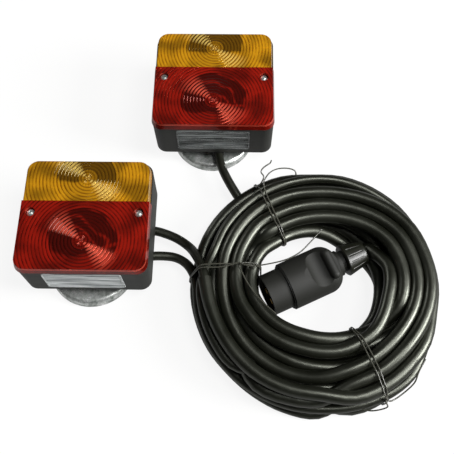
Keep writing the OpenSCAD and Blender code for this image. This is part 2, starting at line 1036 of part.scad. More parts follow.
// One turn of wire round the coil's section, from above its outer edge and back to it
function tie_turn() = let (
    e = coil_edge_r,
    x0 = coil_hole_r + e,
    x1 = coil_r - e,
    z0 = tie_d / 2,
    foot = 1.5
) concat(
    [[x1, -tie_d / 2, coil_h + tie_d / 2 + tie_gap]],
    tie_corner(x0, coil_h - e, 90),
    [[coil_hole_r - tie_d / 2 - tie_gap, 0, e], [coil_hole_r + foot, 0, z0]],
    [[coil_r - foot, 0, z0], [coil_r + tie_d / 2 + tie_gap, 0, e]],
    [for (q = tie_corner(x1, coil_h - e, 0)) q + [0, tie_d / 2 + 0.3, 0]]
);
function at_angle(p, a) = [
    for (q = p) [
        coil_at[0] + q[0] * cos(a) - q[1] * sin(a),
        coil_at[1] + q[0] * sin(a) + q[1] * cos(a),
        q[2]
    ]
];

// Loose ends of each tie: distance out from the coil's outer edge, aside, height over its top
UPPER_START = [[-12, -30, 2], [-7, -29, 4], [-5, -23, 6], [-4, -14, 7], [-5, -6, 5]];
UPPER_END = [[-6, 3, 4], [1, 3, 6], [5, -3, 7], [7, -10, 6]];
LEFT_START = [[4, -12, -4], [-6, -9, 4], [-14, -4, 4]];
LEFT_END = [[-22, 3, 3], [-40, 6, 4], [-56, 6, 6], [-74, 0, 8], [-90, -8, 10]];
LOWER_START = [[10, -16, -28], [14, -9, -16], [10, -5, -4], [-2, -2, 3]];
LOWER_END = [[-4, 2, 4], [8, 5, 1], [14, 12, -10], [14, 24, -20], [10, 34, -22]];
function off_edge(p) = [for (q = p) [coil_r + q[0], q[1], coil_h + q[2]]];

module tie(a, head, tail) {
    path = concat(off_edge(head), tie_turn(), off_edge(tail));
    color("#33332f")
    swept_tube(at_angle(path, a), tie_d / 2, wire_sides);
}

module tie_upper() {
    tie(TIE_ANGLES[0], UPPER_START, UPPER_END);
}

module tie_left() {
    tie(TIE_ANGLES[1], LEFT_START, LEFT_END);
}

module tie_lower() {
    tie(TIE_ANGLES[2], LOWER_START, LOWER_END);
}

// Short straight tail of the main cable, from inside the gland nut to the coil
module main_cable_tail() {
    start_u = nut_u + nut_l - 3;
    color("#1b1b19")
    intersection() {
        in_plug()
            translate([start_u, 0, 0])
                along_x()
                    cylinder(d = main_d, h = 30);
        translate(coil_at)
            cylinder(r = coil_hole_r - 0.1, h = coil_h);
    }
}

module left_main_lead() {
    color("#1b1b19")
    swept_tube(
        smooth_route(lead_route(left_at, LEFT_ELBOWS[0], LEFT_MAIN_PASSES, 160, 15), ring_steps),
        lead_d / 2, tube_sides);
}

module left_link_lead() {
    color("#1b1b19")
    swept_tube(
        smooth_route(lead_route(left_at, LEFT_ELBOWS[1], LEFT_LINK_PASSES, 166.5, 13), ring_steps),
        lead_d / 2, tube_sides);
}

module right_link_lead() {
    color("#1b1b19")
    swept_tube(
        smooth_route(lead_route(right_at, RIGHT_ELBOWS[0], RIGHT_LINK_PASSES, 131, 13), ring_steps),
        lead_d / 2, tube_sides);
}

module at_left() {
    translate(left_at)
        children();
}

module at_right() {
    translate(right_at)
        children();
}

at_left() base_housing(LEFT_ELBOWS);  // left_base_housing
at_left() lens_amber();  // left_lens_amber
at_left() lens_red();  // left_lens_red
at_left() plate_window();  // left_plate_window
at_left() lens_seal();  // left_lens_seal
at_left() lens_screws();  // left_lens_screws
at_left() reflector();  // left_reflector
at_left() bulb_carrier();  // left_bulb_carrier
at_left() bulb_sockets();  // left_bulb_sockets
at_left() indicator_bulb_glass();  // left_indicator_bulb_glass
at_left() bulb_cap(indicator_y);  // left_indicator_bulb_cap
at_left() stop_bulb_glass();  // left_stop_bulb_glass
at_left() bulb_cap(stop_y);  // left_stop_bulb_cap
at_left() contact_springs();  // left_contact_springs
at_left() magnet_cup();  // left_magnet_cup
at_left() magnet_ring();  // left_magnet_ring
at_left() magnet_spacer();  // left_magnet_spacer
at_left() magnet_bolt();  // left_magnet_bolt
at_left() magnet_nut();  // left_magnet_nut
at_left() cable_elbows(LEFT_ELBOWS);  // left_cable_elbows
at_right() base_housing(RIGHT_ELBOWS);  // right_base_housing
at_right() lens_amber();  // right_lens_amber
at_right() lens_red();  // right_lens_red
at_right() plate_window();  // right_plate_window
at_right() lens_seal();  // right_lens_seal
at_right() lens_screws();  // right_lens_screws
at_right() reflector();  // right_reflector
at_right() bulb_carrier();  // right_bulb_carrier
at_right() bulb_sockets();  // right_bulb_sockets
at_right() indicator_bulb_glass();  // right_indicator_bulb_glass
at_right() bulb_cap(indicator_y);  // right_indicator_bulb_cap
at_right() stop_bulb_glass();  // right_stop_bulb_glass
at_right() bulb_cap(stop_y);  // right_stop_bulb_cap
at_right() contact_springs();  // right_contact_springs
at_right() magnet_cup();  // right_magnet_cup
at_right() magnet_ring();  // right_magnet_ring
at_right() magnet_spacer();  // right_magnet_spacer
at_right() magnet_bolt();  // right_magnet_bolt
at_right() magnet_nut();  // right_magnet_nut
at_right() cable_elbows(RIGHT_ELBOWS);  // right_cable_elbows
plug_front();
plug_body();
plug_pins();
gland_nut();
gland_seal();
cable_coil();
main_cable_tail();
left_main_lead();
left_link_lead();
right_link_lead();
tie_upper();
tie_left();
tie_lower();
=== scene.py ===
"""Magnetic towing light set: its finishes, its cables and ties, and a small photo studio.

Two square rear lamps lie on round magnet feet. Their cables run into one coil of sheathed
cable, held by three twisted wire ties, with a seven-pin plug in its middle. The rigid pieces
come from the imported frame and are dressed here; the cables and ties are wound here.
"""

from __future__ import annotations

import logging
import math
from collections.abc import Callable, Mapping, Sequence
from dataclasses import dataclass, field
from enum import Enum
from functools import partial

import bpy
import numpy as np
from mathutils import Matrix, Vector

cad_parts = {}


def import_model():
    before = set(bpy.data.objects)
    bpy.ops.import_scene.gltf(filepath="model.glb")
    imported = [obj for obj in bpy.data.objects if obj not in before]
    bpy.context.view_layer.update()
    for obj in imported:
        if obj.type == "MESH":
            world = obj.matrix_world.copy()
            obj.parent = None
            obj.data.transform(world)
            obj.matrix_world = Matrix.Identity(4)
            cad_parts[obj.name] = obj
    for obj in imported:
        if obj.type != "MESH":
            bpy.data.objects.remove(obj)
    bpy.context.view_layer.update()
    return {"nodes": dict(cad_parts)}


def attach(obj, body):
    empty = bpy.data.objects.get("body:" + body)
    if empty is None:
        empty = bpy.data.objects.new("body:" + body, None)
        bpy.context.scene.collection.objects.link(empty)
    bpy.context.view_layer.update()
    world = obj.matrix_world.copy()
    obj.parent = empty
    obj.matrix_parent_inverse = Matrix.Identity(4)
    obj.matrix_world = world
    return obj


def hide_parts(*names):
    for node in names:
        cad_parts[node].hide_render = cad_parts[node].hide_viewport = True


LOG = logging.getLogger("towing_lights")
MM = 0.001
ACRYLIC_IOR = 1.49

Pair = tuple[float, float]
Point = tuple[float, float, float]
Colour = tuple[float, float, float, float]
Node = bpy.types.Node
Material = bpy.types.Material
Adder = Callable[..., Node]
CadNodes = Mapping[str, bpy.types.Object]

WHITE: Colour = (1.0, 1.0, 1.0, 1.0)


# Colours and nodes


def linear(code: str) -> Colour:
    """Turns an sRGB hex colour into the linear one that nodes take.

    Args:
        code: Six hex digits with a leading hash.

    Returns:
        Linear red, green, blue, and an alpha of 1.
    """
    parts = [int(code[i : i + 2], 16) / 255 for i in (1, 3, 5)]
    low = [c / 12.92 if c <= 0.04045 else ((c + 0.055) / 1.055) ** 2.4 for c in parts]
    return (low[0], low[1], low[2], 1.0)


def per_metre(size_mm: float) -> float:
    """Returns the texture scale whose features have that size in millimetres."""
    return 1 / (size_mm * MM)


def add_node(
    tree: bpy.types.NodeTree,
    kind: str,
    inputs: Mapping[str, object] | Sequence[object] = (),
    mode: str | None = None,
) -> Node:
    """Adds one shader node, sets it and joins it up.

    Args:
        tree: The node tree that takes the node.
        kind: The node's type name, without the ShaderNode that all begin with.
        inputs: What the inputs get, by name, or as a row for those that the mode leaves in
            use. Each is a value, an output, or a node, which stands for its own first output.
        mode: The node's operation, or the kind of data that it works on.

    Returns:
        The new node.
    """
    node = tree.nodes.new(f"ShaderNode{kind}")
    if mode:
        setattr(node, "operation" if hasattr(node, "operation") else "data_type", mode)
    if isinstance(inputs, Mapping):
        pairs = [(node.inputs[name], value) for name, value in inputs.items()]
    else:
        pairs = list(zip((socket for socket in node.inputs if socket.enabled), inputs))
    for socket, value in pairs:
        if isinstance(value, Node):
            value = next(out for out in value.outputs if out.enabled)
        if isinstance(value, bpy.types.NodeSocket):
            tree.links.new(value, socket)
        else:
            socket.default_value = value
    return node


def distance(add: Adder, x: Node, y: Node) -> Node:
    """Returns a node for the length of the flat step (x, y)."""
    return add("VectorMath", [add("CombineXYZ", [x, y])], "LENGTH")


# Finishes


@dataclass(frozen=True)
class Finish:
    """A finish that is made as one node material, named for what the real one is."""

    name: str

    def build(self) -> Material:
        """Makes the material.

        Returns:
            A node material with this finish's shader at its output.
        """
        material = bpy.data.materials.new(self.name)
        material.use_nodes = True
        material.node_tree.nodes.clear()
        add = partial(add_node, material.node_tree)
        add("OutputMaterial", {"Surface": self.shader(add)})
        return material

    def shader(self, add: Adder) -> Node:
        """Adds the nodes of the surface.

        Args:
            add: Adds one node to the material, as add_node does.

        Returns:
            The surface's shader.
        """
        raise NotImplementedError


@dataclass(frozen=True)
class PatchyFinish(Finish):
    """A surface with slow patches of another shade and gloss, and a finer relief.

    Both are noise, given by the size of its features and its detail. The gloss goes under and
    over the middle roughness, as the patches go through gloss_range. Refraction and tint are
    a plain plastic's, unless a finish says otherwise.
    """

    colour: str
    shade: str
    roughness: float = 0.5
    grain_mm: float = 0.5
    grain_depth_mm: float = 0.012
    patch_mm: float = 14.0
    grain_detail: float = 2.0
    patch_detail: float = 4.0
    gloss_under: float = 0.06
    gloss_over: float = 0.06
    gloss_range: Pair = (0.0, 1.0)
    metallic: float = 0.0
    ior: float = 1.5
    tint: str = "#ffffff"

    def patches(self, add: Adder, place: bpy.types.NodeSocket) -> Node:
        """Returns the patches' noise."""
        return add("TexNoise", [place, per_metre(self.patch_mm), self.patch_detail])

    def shader(self, add: Adder) -> Node:
        """Adds the patches, the relief and the surface itself."""
        place = add("TexCoord").outputs["Object"]
        patches = self.patches(add, place)
        grain = add("TexNoise", [place, per_metre(self.grain_mm), self.grain_detail])
        shades = [patches, linear(self.colour), linear(self.shade)]
        least, most = self.roughness - self.gloss_under, self.roughness + self.gloss_over
        return add(
            "BsdfPrincipled",
            {
                "Base Color": add("Mix", shades, "RGBA"),
                "Metallic": self.metallic,
                "Roughness": add("MapRange", [patches, *self.gloss_range, least, most]),
                "IOR": self.ior,
                "Specular Tint": linear(self.tint),
                "Normal": add("Bump", {"Height": grain, "Distance": self.grain_depth_mm * MM}),
            },
        )


@dataclass(frozen=True)
class MouldedPlastic(PatchyFinish):
    """Injection-moulded plastic: an even colour, a fine spark-eroded grain and soft gloss.

    The grain breaks the highlight up, and slow changes of shade keep a large face from
    looking painted.
    """


@dataclass(frozen=True)
class SheathPvc(PatchyFinish):
    """Extruded PVC cable sheath: near black, glossy, with a long greenish white highlight.

    Extrusion leaves slow waves along the cable, and handling leaves duller patches.
    """

    roughness: float = 0.36
    grain_mm: float = 8.0
    grain_depth_mm: float = 0.1
    patch_mm: float = 22.0
    grain_detail: float = 3.0
    patch_detail: float = 5.0
    gloss_under: float = 0.05
    gloss_over: float = 0.09
    gloss_range: Pair = (0.3, 0.7)
    ior: float = 1.65
    tint: str = "#fbffee"


@dataclass(frozen=True)
class PlatedMetal(PatchyFinish):
    """Pressed metal with a thin plating: bright, with cloudy patches and fine scuffs.

    The clouds change both colour and gloss, as they do on zinc that has been handled. A
    metallic share under 1 stands for the milky film on passivated zinc.
    """

    grain_mm: float = 0.8
    grain_depth_mm: float = 0.01
    grain_detail: float = 3.0
    patch_detail: float = 6.0
    gloss_under: float = 0.08
    gloss_over: float = 0.14
    metallic: float = 1.0

    def patches(self, add: Adder, place: bpy.types.NodeSocket) -> Node:
        """Returns the clouds, with firmer edges than plain noise."""
        scale = per_metre(self.patch_mm)
        clouds = add("TexNoise", [place, scale, self.patch_detail, 0.62])
        return add("MapRange", [clouds, 0.35, 0.66])


@dataclass(frozen=True)
class BlownGlass(Finish):
    """Blown bulb glass: see-through, with a faint tint and small waves from blowing."""

    colour: str
    shade: str
    roughness: float
    transmission: float
    wave_mm: float = 6.0
    wave_depth_mm: float = 0.03

    def shader(self, add: Adder) -> Node:
        """Adds the waves and the glass itself."""
        place = add("TexCoord").outputs["Object"]
        waves = add("TexNoise", [place, per_metre(self.wave_mm), 2.0])
        shades = [waves, linear(self.colour), linear(self.shade)]
        return add(
            "BsdfPrincipled",
            {
                "Base Color": add("Mix", shades, "RGBA"),
                "Roughness": self.roughness,
                "IOR": 1.5,
                "Transmission Weight": self.transmission,
                "Normal": add("Bump", {"Height": waves, "Distance": self.wave_depth_mm * MM}),
            },
        )


@dataclass(frozen=True)
class FlutedWindow(Finish):
    """Clear acrylic window with level flutes, and silvery lines of painted highlight along them.

    The painted lines are noise that is stretched along the window.
    """

    bright: str
    dull: str
    transmission: float
    pitch_mm: float = 2.4
    depth_mm: float = 0.2
    streak_mm: float = 1.7
    stretch: float = 0.05
    roughness: float = 0.12

    def shader(self, add: Adder) -> Node:
        """Adds the flutes, their painted silvery highlight lines and the acrylic itself."""
        x, y, z = add("SeparateXYZ", [add("TexCoord").outputs["Object"]]).outputs
        line = add("CombineXYZ", [add("Math", [x, self.stretch], "MULTIPLY"), y, z])
        streaks = add("TexNoise", [line, per_metre(self.streak_mm), 2.0])
        turn = add("Math", [z, 2 * math.pi / (self.pitch_mm * MM)], "MULTIPLY")
        flutes = add("Math", [turn], "SINE")
        # Painted highlight: silvery lines of lighter colour along the flutes
        painted_silver_lines = add("MapRange", [streaks, 0.35, 0.62])
        shades = [painted_silver_lines, linear(self.dull), linear(self.bright)]
        return add(
            "BsdfPrincipled",
            {
                "Base Color": add("Mix", shades, "RGBA"),
                "Roughness": self.roughness,
                "IOR": ACRYLIC_IOR,
                "Transmission Weight": self.transmission,
                "Normal": add("Bump", {"Height": flutes, "Distance": self.depth_mm * MM}),
            },
        )


@dataclass(frozen=True)
class PaintedGlint:
    """A painted highlight in a lens: a bright curved line where the edge of its bulb chamber would
    catch the light, seen through the flutes.

    Each is part of a circle, given from the lens's ring centre, in millimetres.
    """

    aside: float
    ahead: float
    radius: float
    width: float = 1.1


@dataclass(frozen=True)
class FlutedAcrylic(Finish):
    """Clear-coloured acrylic lens, moulded with ring flutes round its bulb.

    The flutes' relief catches the lights under a smooth outer face, and a striped band of painted
    highlight in the lens's own lit colour runs through the ring centre, with a painted highlight
    on the band below the outer face. The grooves and the sides are darkened by painted shade.
    The bulb chamber is a dark disc of painted shade, with bright curved lines of painted
    highlight where its edge would catch the light. Inside the small middle disc the flutes run
    outwards, round a moulded cross. Each pair of sizes says where a change begins and where it
    is complete, and murk is a slow painted shade over the whole lens, for what lies dark behind
    it.
    """

    colour: str
    groove_shade: str
    chamber: str
    lit: str
    centre: Pair
    chamber_mm: float
    lower_dark: float
    cut_mm: float
    upper_dark: float = 0.85
    crest: float = 0.5
    glints: tuple[PaintedGlint, ...] = ()
    pitch_mm: float = 2.8
    depth_mm: float = 0.34
    even_mm: Pair = (36.0, 24.0)
    edge_depth: float = 0.25
    disc_mm: float = 7.5
    disc_dark: float = 0.7
    spokes: float = 18.0
    spoke_depth: float = 0.25
    streak_mm: float = 7.0
    side_shade: float = 0.6
    lean: float = 0.7
    beam_angles: Pair = (0.42, 0.08)
    beam_mm: Pair = (34.0, 20.0)
    beam_share: float = 0.7
    murk_mm: float = 16.0
    murk_share: float = 0.6
    drift_mm: float = 9.0
    ring_bend: float = 0.06
    chamber_edge_mm: float = 1.0
    cut_edge_mm: float = 1.5
    glint_dark: float = 0.35
    face_mm: float = 62.9
    rim_mm: float = 1.6
    rim_share: float = 0.4
    cross_arm_mm: float = 4.5
    cross_width_mm: float = 0.3
    cross_share: float = 0.6
    transmission: float = 0.35
    roughness: float = 0.09

    def shader(self, add: Adder) -> Node:
        """Lays the lens's colours, with its painted shade and painted highlights, over each other
        and adds the glossy acrylic.
        """
        nodes = LensNodes(self, add)
        # Painted shade in the grooves and the bulb chamber, painted highlight in the beam and on
        # the rim, then the plain colour on the moulded cross
        layers = (
            (nodes.painted_groove_shade(), self.groove_shade),
            (nodes.painted_chamber_shade(), self.chamber),
            (nodes.painted_beam(), self.lit),
            (nodes.painted_rim_light(), self.lit),
            (nodes.cross(), self.colour),
        )
        colour: Colour | Node = linear(self.colour)
        for share, tint in layers:
            colour = add("Mix", [share, colour, linear(tint)], "RGBA")
        relief = {"Height": nodes.relief(), "Distance": self.depth_mm * MM}
        return add(
            "BsdfPrincipled",
            {
                "Base Color": colour,
                "Roughness": self.roughness,
                "IOR": ACRYLIC_IOR,
                "Specular IOR Level": 1.0,
                "Specular Tint": linear(self.lit),
                "Transmission Weight": self.transmission,
                "Coat Weight": 0.3,
                "Coat Roughness": 0.04,
                "Normal": add("Bump", relief),
            },
        )


class LensNodes:
    """The node graph of one fluted lens, built part by part.

    x, y and reach are measured from the ring centre, in metres, and turned is the angle round
    it. rings runs from -1 in a groove to 0 on a crest. in_disc is 1 in the small middle disc
    and on_face is 1 on the outer face.
    """

    def __init__(self, lens: FlutedAcrylic, add: Adder) -> None:
        """Finds where a point lies on the lens.

        Args:
            lens: The lens's sizes.
            add: Adds one node to its material.
        """
        self.lens, self.add = lens, add
        place = add("TexCoord").outputs["Object"]
        x, y, self.height = add("SeparateXYZ", [place]).outputs
        self.x = add("Math", [x, lens.centre[0] * MM], "SUBTRACT")
        self.y = add("Math", [y, lens.centre[1] * MM], "SUBTRACT")
        self.reach = distance(add, self.x, self.y)
        self.turned = add("Math", [self.y, self.x], "ARCTAN2")
        across = add("Math", [self.reach, lens.pitch_mm * MM], "DIVIDE")
        across = add("Math", [add("Math", [across], "FRACT"), lens.crest], "SUBTRACT")
        across = add("Math", [across, 2.0], "POWER")
        self.rings = add("Math", [across, -4.0], "MULTIPLY")
        self.in_disc = add("Math", [self.reach, lens.disc_mm * MM], "LESS_THAN")
        self.on_face = add("Math", [self.height, lens.face_mm * MM], "GREATER_THAN")
        self.streaks = add("TexNoise", [place, per_metre(lens.streak_mm), 4.0])
        self.murk = add("TexNoise", [place, per_metre(lens.murk_mm), 0.0])

    def product(self, *parts: Node | float) -> Node:
        """Returns the product of shares and values."""
        share = parts[0]
        for part in parts[1:]:
            share = self.add("Math", [share, part], "MULTIPLY")
        return share

    def relief(self) -> Node:
        """Returns the flutes' height: rings that flatten outwards, and spokes in the disc."""
        add, lens = self.add, self.lens
        turned = self.product(self.turned, lens.spokes)
        spokes = self.product(add("Math", [turned], "SINE"), lens.spoke_depth)
        shallow = add("MapRange", [self.reach, *(size * MM for size in lens.even_mm)])
        cut = self.product(self.on_face, add("Mix", [shallow, lens.edge_depth, 1.0]))
        return self.product(add("Mix", [self.in_disc, self.rings, spokes]), cut)

    def painted_groove_shade(self) -> Node:
        """Returns the share of the painted groove shade, uneven in streaks, and even on the sides.
        """
        deep = self.add("MapRange", [self.rings, -0.1, -0.8])
        uneven = self.add("MapRange", [self.streaks, 0.2, 0.6])
        return self.add("Mix", [self.on_face, self.lens.side_shade, self.product(deep, uneven)])

    def painted_beam(self) -> Node:
        """Returns the share of the lit colour: a painted highlight, in a striped band through the
        ring centre.
        """
        add, lens = self.add, self.lens
        leant = add("Math", [self.turned, lens.lean], "ADD")
        leant = add("Math", [add("Math", [leant], "COSINE")], "ABSOLUTE")
        band = add("MapRange", [leant, *(math.cos(angle) for angle in lens.beam_angles)])
        near = add("MapRange", [self.reach, *(size * MM for size in lens.beam_mm)])
        crests = add("MapRange", [self.rings, -0.5, -0.05])
        return self.product(band, near, crests, lens.beam_share)

    def painted_rim_light(self) -> Node:
        """Returns the share of the lit colour: a painted highlight on the band just below the
        outer face.
        """
        bottom = (self.lens.face_mm - self.lens.rim_mm) * MM
        near = self.add("Math", [self.height, bottom], "GREATER_THAN")
        near = self.add("Math", [near, self.on_face], "SUBTRACT")
        return self.product(near, self.lens.rim_share)

    def cross(self) -> Node:
        """Returns the share of the plain colour, on the small cross in the middle."""
        off = [self.add("Math", [axis], "ABSOLUTE") for axis in (self.x, self.y)]
        bar = self.add("Math", off, "MINIMUM")
        bar = self.add("Math", [bar, self.lens.cross_width_mm * MM], "LESS_THAN")
        arm = self.add("Math", [self.reach, self.lens.cross_arm_mm * MM], "LESS_THAN")
        return self.product(bar, arm, self.lens.cross_share)

    def painted_chamber_shade(self) -> Node:
        """Returns the share of the chamber's colour: painted shade where the dark bulb chamber or
        the murk would show through.

        The flutes and the slow noise shift this painted shade, so its outlines are uneven.
        """
        add, lens = self.add, self.lens
        bend = add("Math", [self.product(self.rings, lens.ring_bend), 1.0], "ADD")
        drift = self.product(add("Math", [self.murk, 0.5], "SUBTRACT"), lens.drift_mm * MM)
        x, y = (add("Math", [self.product(axis, bend), drift], "ADD") for axis in (self.x, self.y))
        edge, cut_edge = lens.chamber_edge_mm, lens.cut_edge_mm
        outside, inside = (lens.chamber_mm + edge) * MM, (lens.chamber_mm - edge) * MM
        below, above = (lens.cut_mm - cut_edge) * MM, (lens.cut_mm + cut_edge) * MM
        upper = add("MapRange", [y, below, above])
        shown = self.product(
            add("MapRange", [distance(add, x, y), outside, inside]),
            add("Mix", [upper, lens.lower_dark, lens.upper_dark]),
            add("Mix", [self.in_disc, 1.0, lens.disc_dark]),
            *(self.beside(glint, x, y) for glint in lens.glints),
        )
        murk = self.product(add("MapRange", [self.murk, 0.38, 0.7]), lens.murk_share)
        return add("Math", [shown, murk], "MAXIMUM")

    def beside(self, glint: PaintedGlint, x: Node, y: Node) -> Node:
        """Thins the painted chamber shade on a glint's line, which leaves a painted bright line
        there.

        Args:
            glint: The bright line.
            x: Place across the lens, from its ring centre.
            y: Place up the lens, from its ring centre.

        Returns:
            A low share on the line and 1 away from it.
        """
        add = self.add
        across = add("Math", [x, glint.aside * MM], "SUBTRACT")
        along = add("Math", [y, glint.ahead * MM], "SUBTRACT")
        off = add("Math", [distance(add, across, along), glint.radius * MM], "SUBTRACT")
        off = add("Math", [off], "ABSOLUTE")
        clear = add("MapRange", [off, 0.3 * glint.width * MM, 1.5 * glint.width * MM])
        return add("Mix", [clear, self.lens.glint_dark, 1.0])


@dataclass(frozen=True)
class PalePaper(Finish):
    """Matte white studio paper, which glows in part so that it looks white to the eye.

    The glow also shows in metal and glass, and is duller in a gloss. The rest of the paper is
    lit by the lamps, so it takes a shadow.
    """

    colour: str = "#eeeeec"
    glow_share: float = 0.88
    glow_in_gloss: float = 0.35

    def shader(self, add: Adder) -> Node:
        """Adds the paper and its glow, by the kind of ray that meets it."""
        ray = add("LightPath").outputs
        seen = add("Math", [ray["Is Camera Ray"], ray["Is Glossy Ray"]], "MAXIMUM")
        seen = add("Math", [seen, ray["Is Transmission Ray"]], "MAXIMUM")
        share = add("Math", [seen, self.glow_share], "MULTIPLY")
        paper = add("BsdfDiffuse", {"Color": linear(self.colour), "Roughness": 0.5})
        level = add("MapRange", [ray["Is Glossy Ray"], 0.0, 1.0, 1.0, self.glow_in_gloss])
        glow = add("Emission", {"Color": WHITE, "Strength": level})
        return add("MixShader", [share, paper, glow])


class Slot(Enum):
    """The record's material slots that have one shared finish, by their names there."""

    HOUSING = "housing_plastic"
    SEAL = "seal_rubber"
    ZINC = "zinc_steel"
    REFLECTOR = "reflector_plastic"
    BOARD = "board_plastic"
    BRASS = "contact_brass"
    AMBER_GLASS = "amber_glass"
    CLEAR_GLASS = "clear_glass"
    CAP = "cap_nickel"
    FERRITE = "magnet_ferrite"
    PLUG = "plug_plastic"
    SHEATH = "cable_sheath"
    TIE = "tie_wire"


# What each shared finish is, and what it gives the eye
SHARED_FINISHES: dict[Slot, Finish] = {
    # Moulded ABS: warm black with an even satin sheen
    Slot.HOUSING: MouldedPlastic("moulded_abs_housing", "#1d1e19", "#161712", 0.5),
    # Moulded rubber: dull dark grey
    Slot.SEAL: MouldedPlastic("moulded_rubber", "#171716", "#101010", 0.7, 0.4),
    # Pressed pale plastic: a half gloss that throws the bulb's light back
    Slot.REFLECTOR: MouldedPlastic("pressed_pale_reflector", "#d8d6cd", "#c2c0b6", 0.35, 0.8),
    # Laminated board: dull brown
    Slot.BOARD: MouldedPlastic("insulating_board", "#3a352e", "#2c2823", 0.7, 0.4),
    # Moulded nylon: deep black and dull, with a fine grain
    Slot.PLUG: MouldedPlastic("moulded_nylon_plug", "#11120b", "#0c0d07", 0.66, 0.35),
    # Plastic coat on soft wire: dark grey with a sharp highlight
    Slot.TIE: MouldedPlastic("coated_tie_wire", "#33332c", "#4c4c44", 0.24, 0.4, 0.004, 6.0),
    # Ground ferrite: flat dark grey with a gritty face
    Slot.FERRITE: MouldedPlastic("ground_ferrite", "#3b3b3d", "#2e2e30", 0.5, 0.3, 0.02),
    # Zinc plate on steel: bright, clouded, a little milky
    Slot.ZINC: PlatedMetal(
        "bright_zinc_plate", "#fafcfa", "#838b84", 0.32, patch_mm=6.0, metallic=0.8
    ),
    # Rolled brass strip: yellow, soft gloss
    Slot.BRASS: PlatedMetal("rolled_brass", "#c9a14c", "#a9873d", 0.3, patch_mm=5.0),
    # Nickel plate on brass: warm grey gloss
    Slot.CAP: PlatedMetal("nickel_plated_cap", "#c3bda9", "#a39d8b", 0.3, patch_mm=4.0),
    # Lacquered bulb glass: amber, a little hazy
    Slot.AMBER_GLASS: BlownGlass("lacquered_bulb_glass", "#e8a54a", "#dd9638", 0.12, 0.85),
    # Plain bulb glass: clear and sharp
    Slot.CLEAR_GLASS: BlownGlass("clear_bulb_glass", "#f2f4f4", "#e9ecec", 0.03, 1.0),
    # Extruded PVC: near black with a greenish white highlight
    Slot.SHEATH: SheathPvc("extruded_pvc_sheath", "#070804", "#0e0f08"),
}


def dress(node: bpy.types.Object, material: Material) -> None:
    """Gives a CAD node a material without touching its mesh.

    Args:
        node: The CAD node's object.
        material: The material for all its slots.
    """
    if not node.material_slots:
        node.data.materials.append(material)
    for holder in node.material_slots:
        holder.material = material


# Cables


def spline_through(way: np.ndarray, steps: int) -> np.ndarray:
    """Runs a smooth curve through a row of points.

    Args:
        way: The points, one a row, in millimetres.
        steps: How many pieces each stretch is cut into.

    Returns:
        The finer row of points.
    """
    padded = np.vstack([2 * way[0] - way[1], way, 2 * way[-1] - way[-2]])
    out = []
    for i in range(1, len(padded) - 2):
        a, b, c, d = padded[i - 1 : i + 3]
        for t in np.arange(steps) / steps:
            squared = (2 * a - 5 * b + 4 * c - d) * t * t
            cubed = (3 * b - a - 3 * c + d) * t**3
            out.append(0.5 * (2 * b + (c - a) * t + squared + cubed))
    out.append(way[-1])
    return np.array(out)


def length_mm(way: np.ndarray) -> float:
    """Returns the length of a row of points."""
    return float(np.linalg.norm(np.diff(way, axis=0), axis=1).sum())


@dataclass(frozen=True)
class CordFacts:
    """sides are those of the section, a multiple of four, and digits those of the length.
    """

    far_end: str
    stiffness: str
    lay: str
    slot: Slot
    sides: int
    digits: int


class CordKind(Enum):
    """The kinds of cord."""

    MAIN = CordFacts("plug", "medium", "coiled", Slot.SHEATH, 20, 2)
    LEAD = CordFacts("object", "medium", "loose", Slot.SHEATH, 16, 3)
    LINK = CordFacts("object", "medium", "coiled", Slot.SHEATH, 16, 2)
    TIE = CordFacts("bare", "stiff", "loose", Slot.TIE, 8, 3)


@dataclass(frozen=True)
class RoundCord:
    """One round cable or wire: a curve of one open spline that stands for CAD solids."""

    name: str
    kind: CordKind
    diameter_mm: float
    stands_for: tuple[str, ...]

    def build(
        self,
        way: np.ndarray,
        material: Material,
        with_pieces: Sequence[bpy.types.Object] = (),
    ) -> None:
        """Makes the cord, and hides the CAD solids that it stands for.

        Args:
            way: Its centreline in millimetres, from where it leaves the object.
            material: Its finish.
            with_pieces: Not used.
        """
        facts = self.kind.value
        curve = bpy.data.curves.new(self.name, "CURVE")
        curve.dimensions = "3D"
        curve.bevel_depth = self.diameter_mm * MM / 2
        curve.bevel_resolution = facts.sides // 4 - 1
        curve.resolution_u = 1
        curve.use_fill_caps = True
        spline = curve.splines.new("POLY")
        spline.points.add(len(way) - 1)
        for target, p in zip(spline.points, way * MM):
            target.co = (p[0], p[1], p[2], 1.0)
        spline.use_smooth = True
        curve.materials.append(material)
        piece = bpy.data.objects.new(self.name, curve)
        bpy.context.scene.collection.objects.link(piece)
        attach(piece, "root")
        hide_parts(*self.stands_for)
        LOG.info("%s: %.3f m", self.name, length_mm(way) * MM)


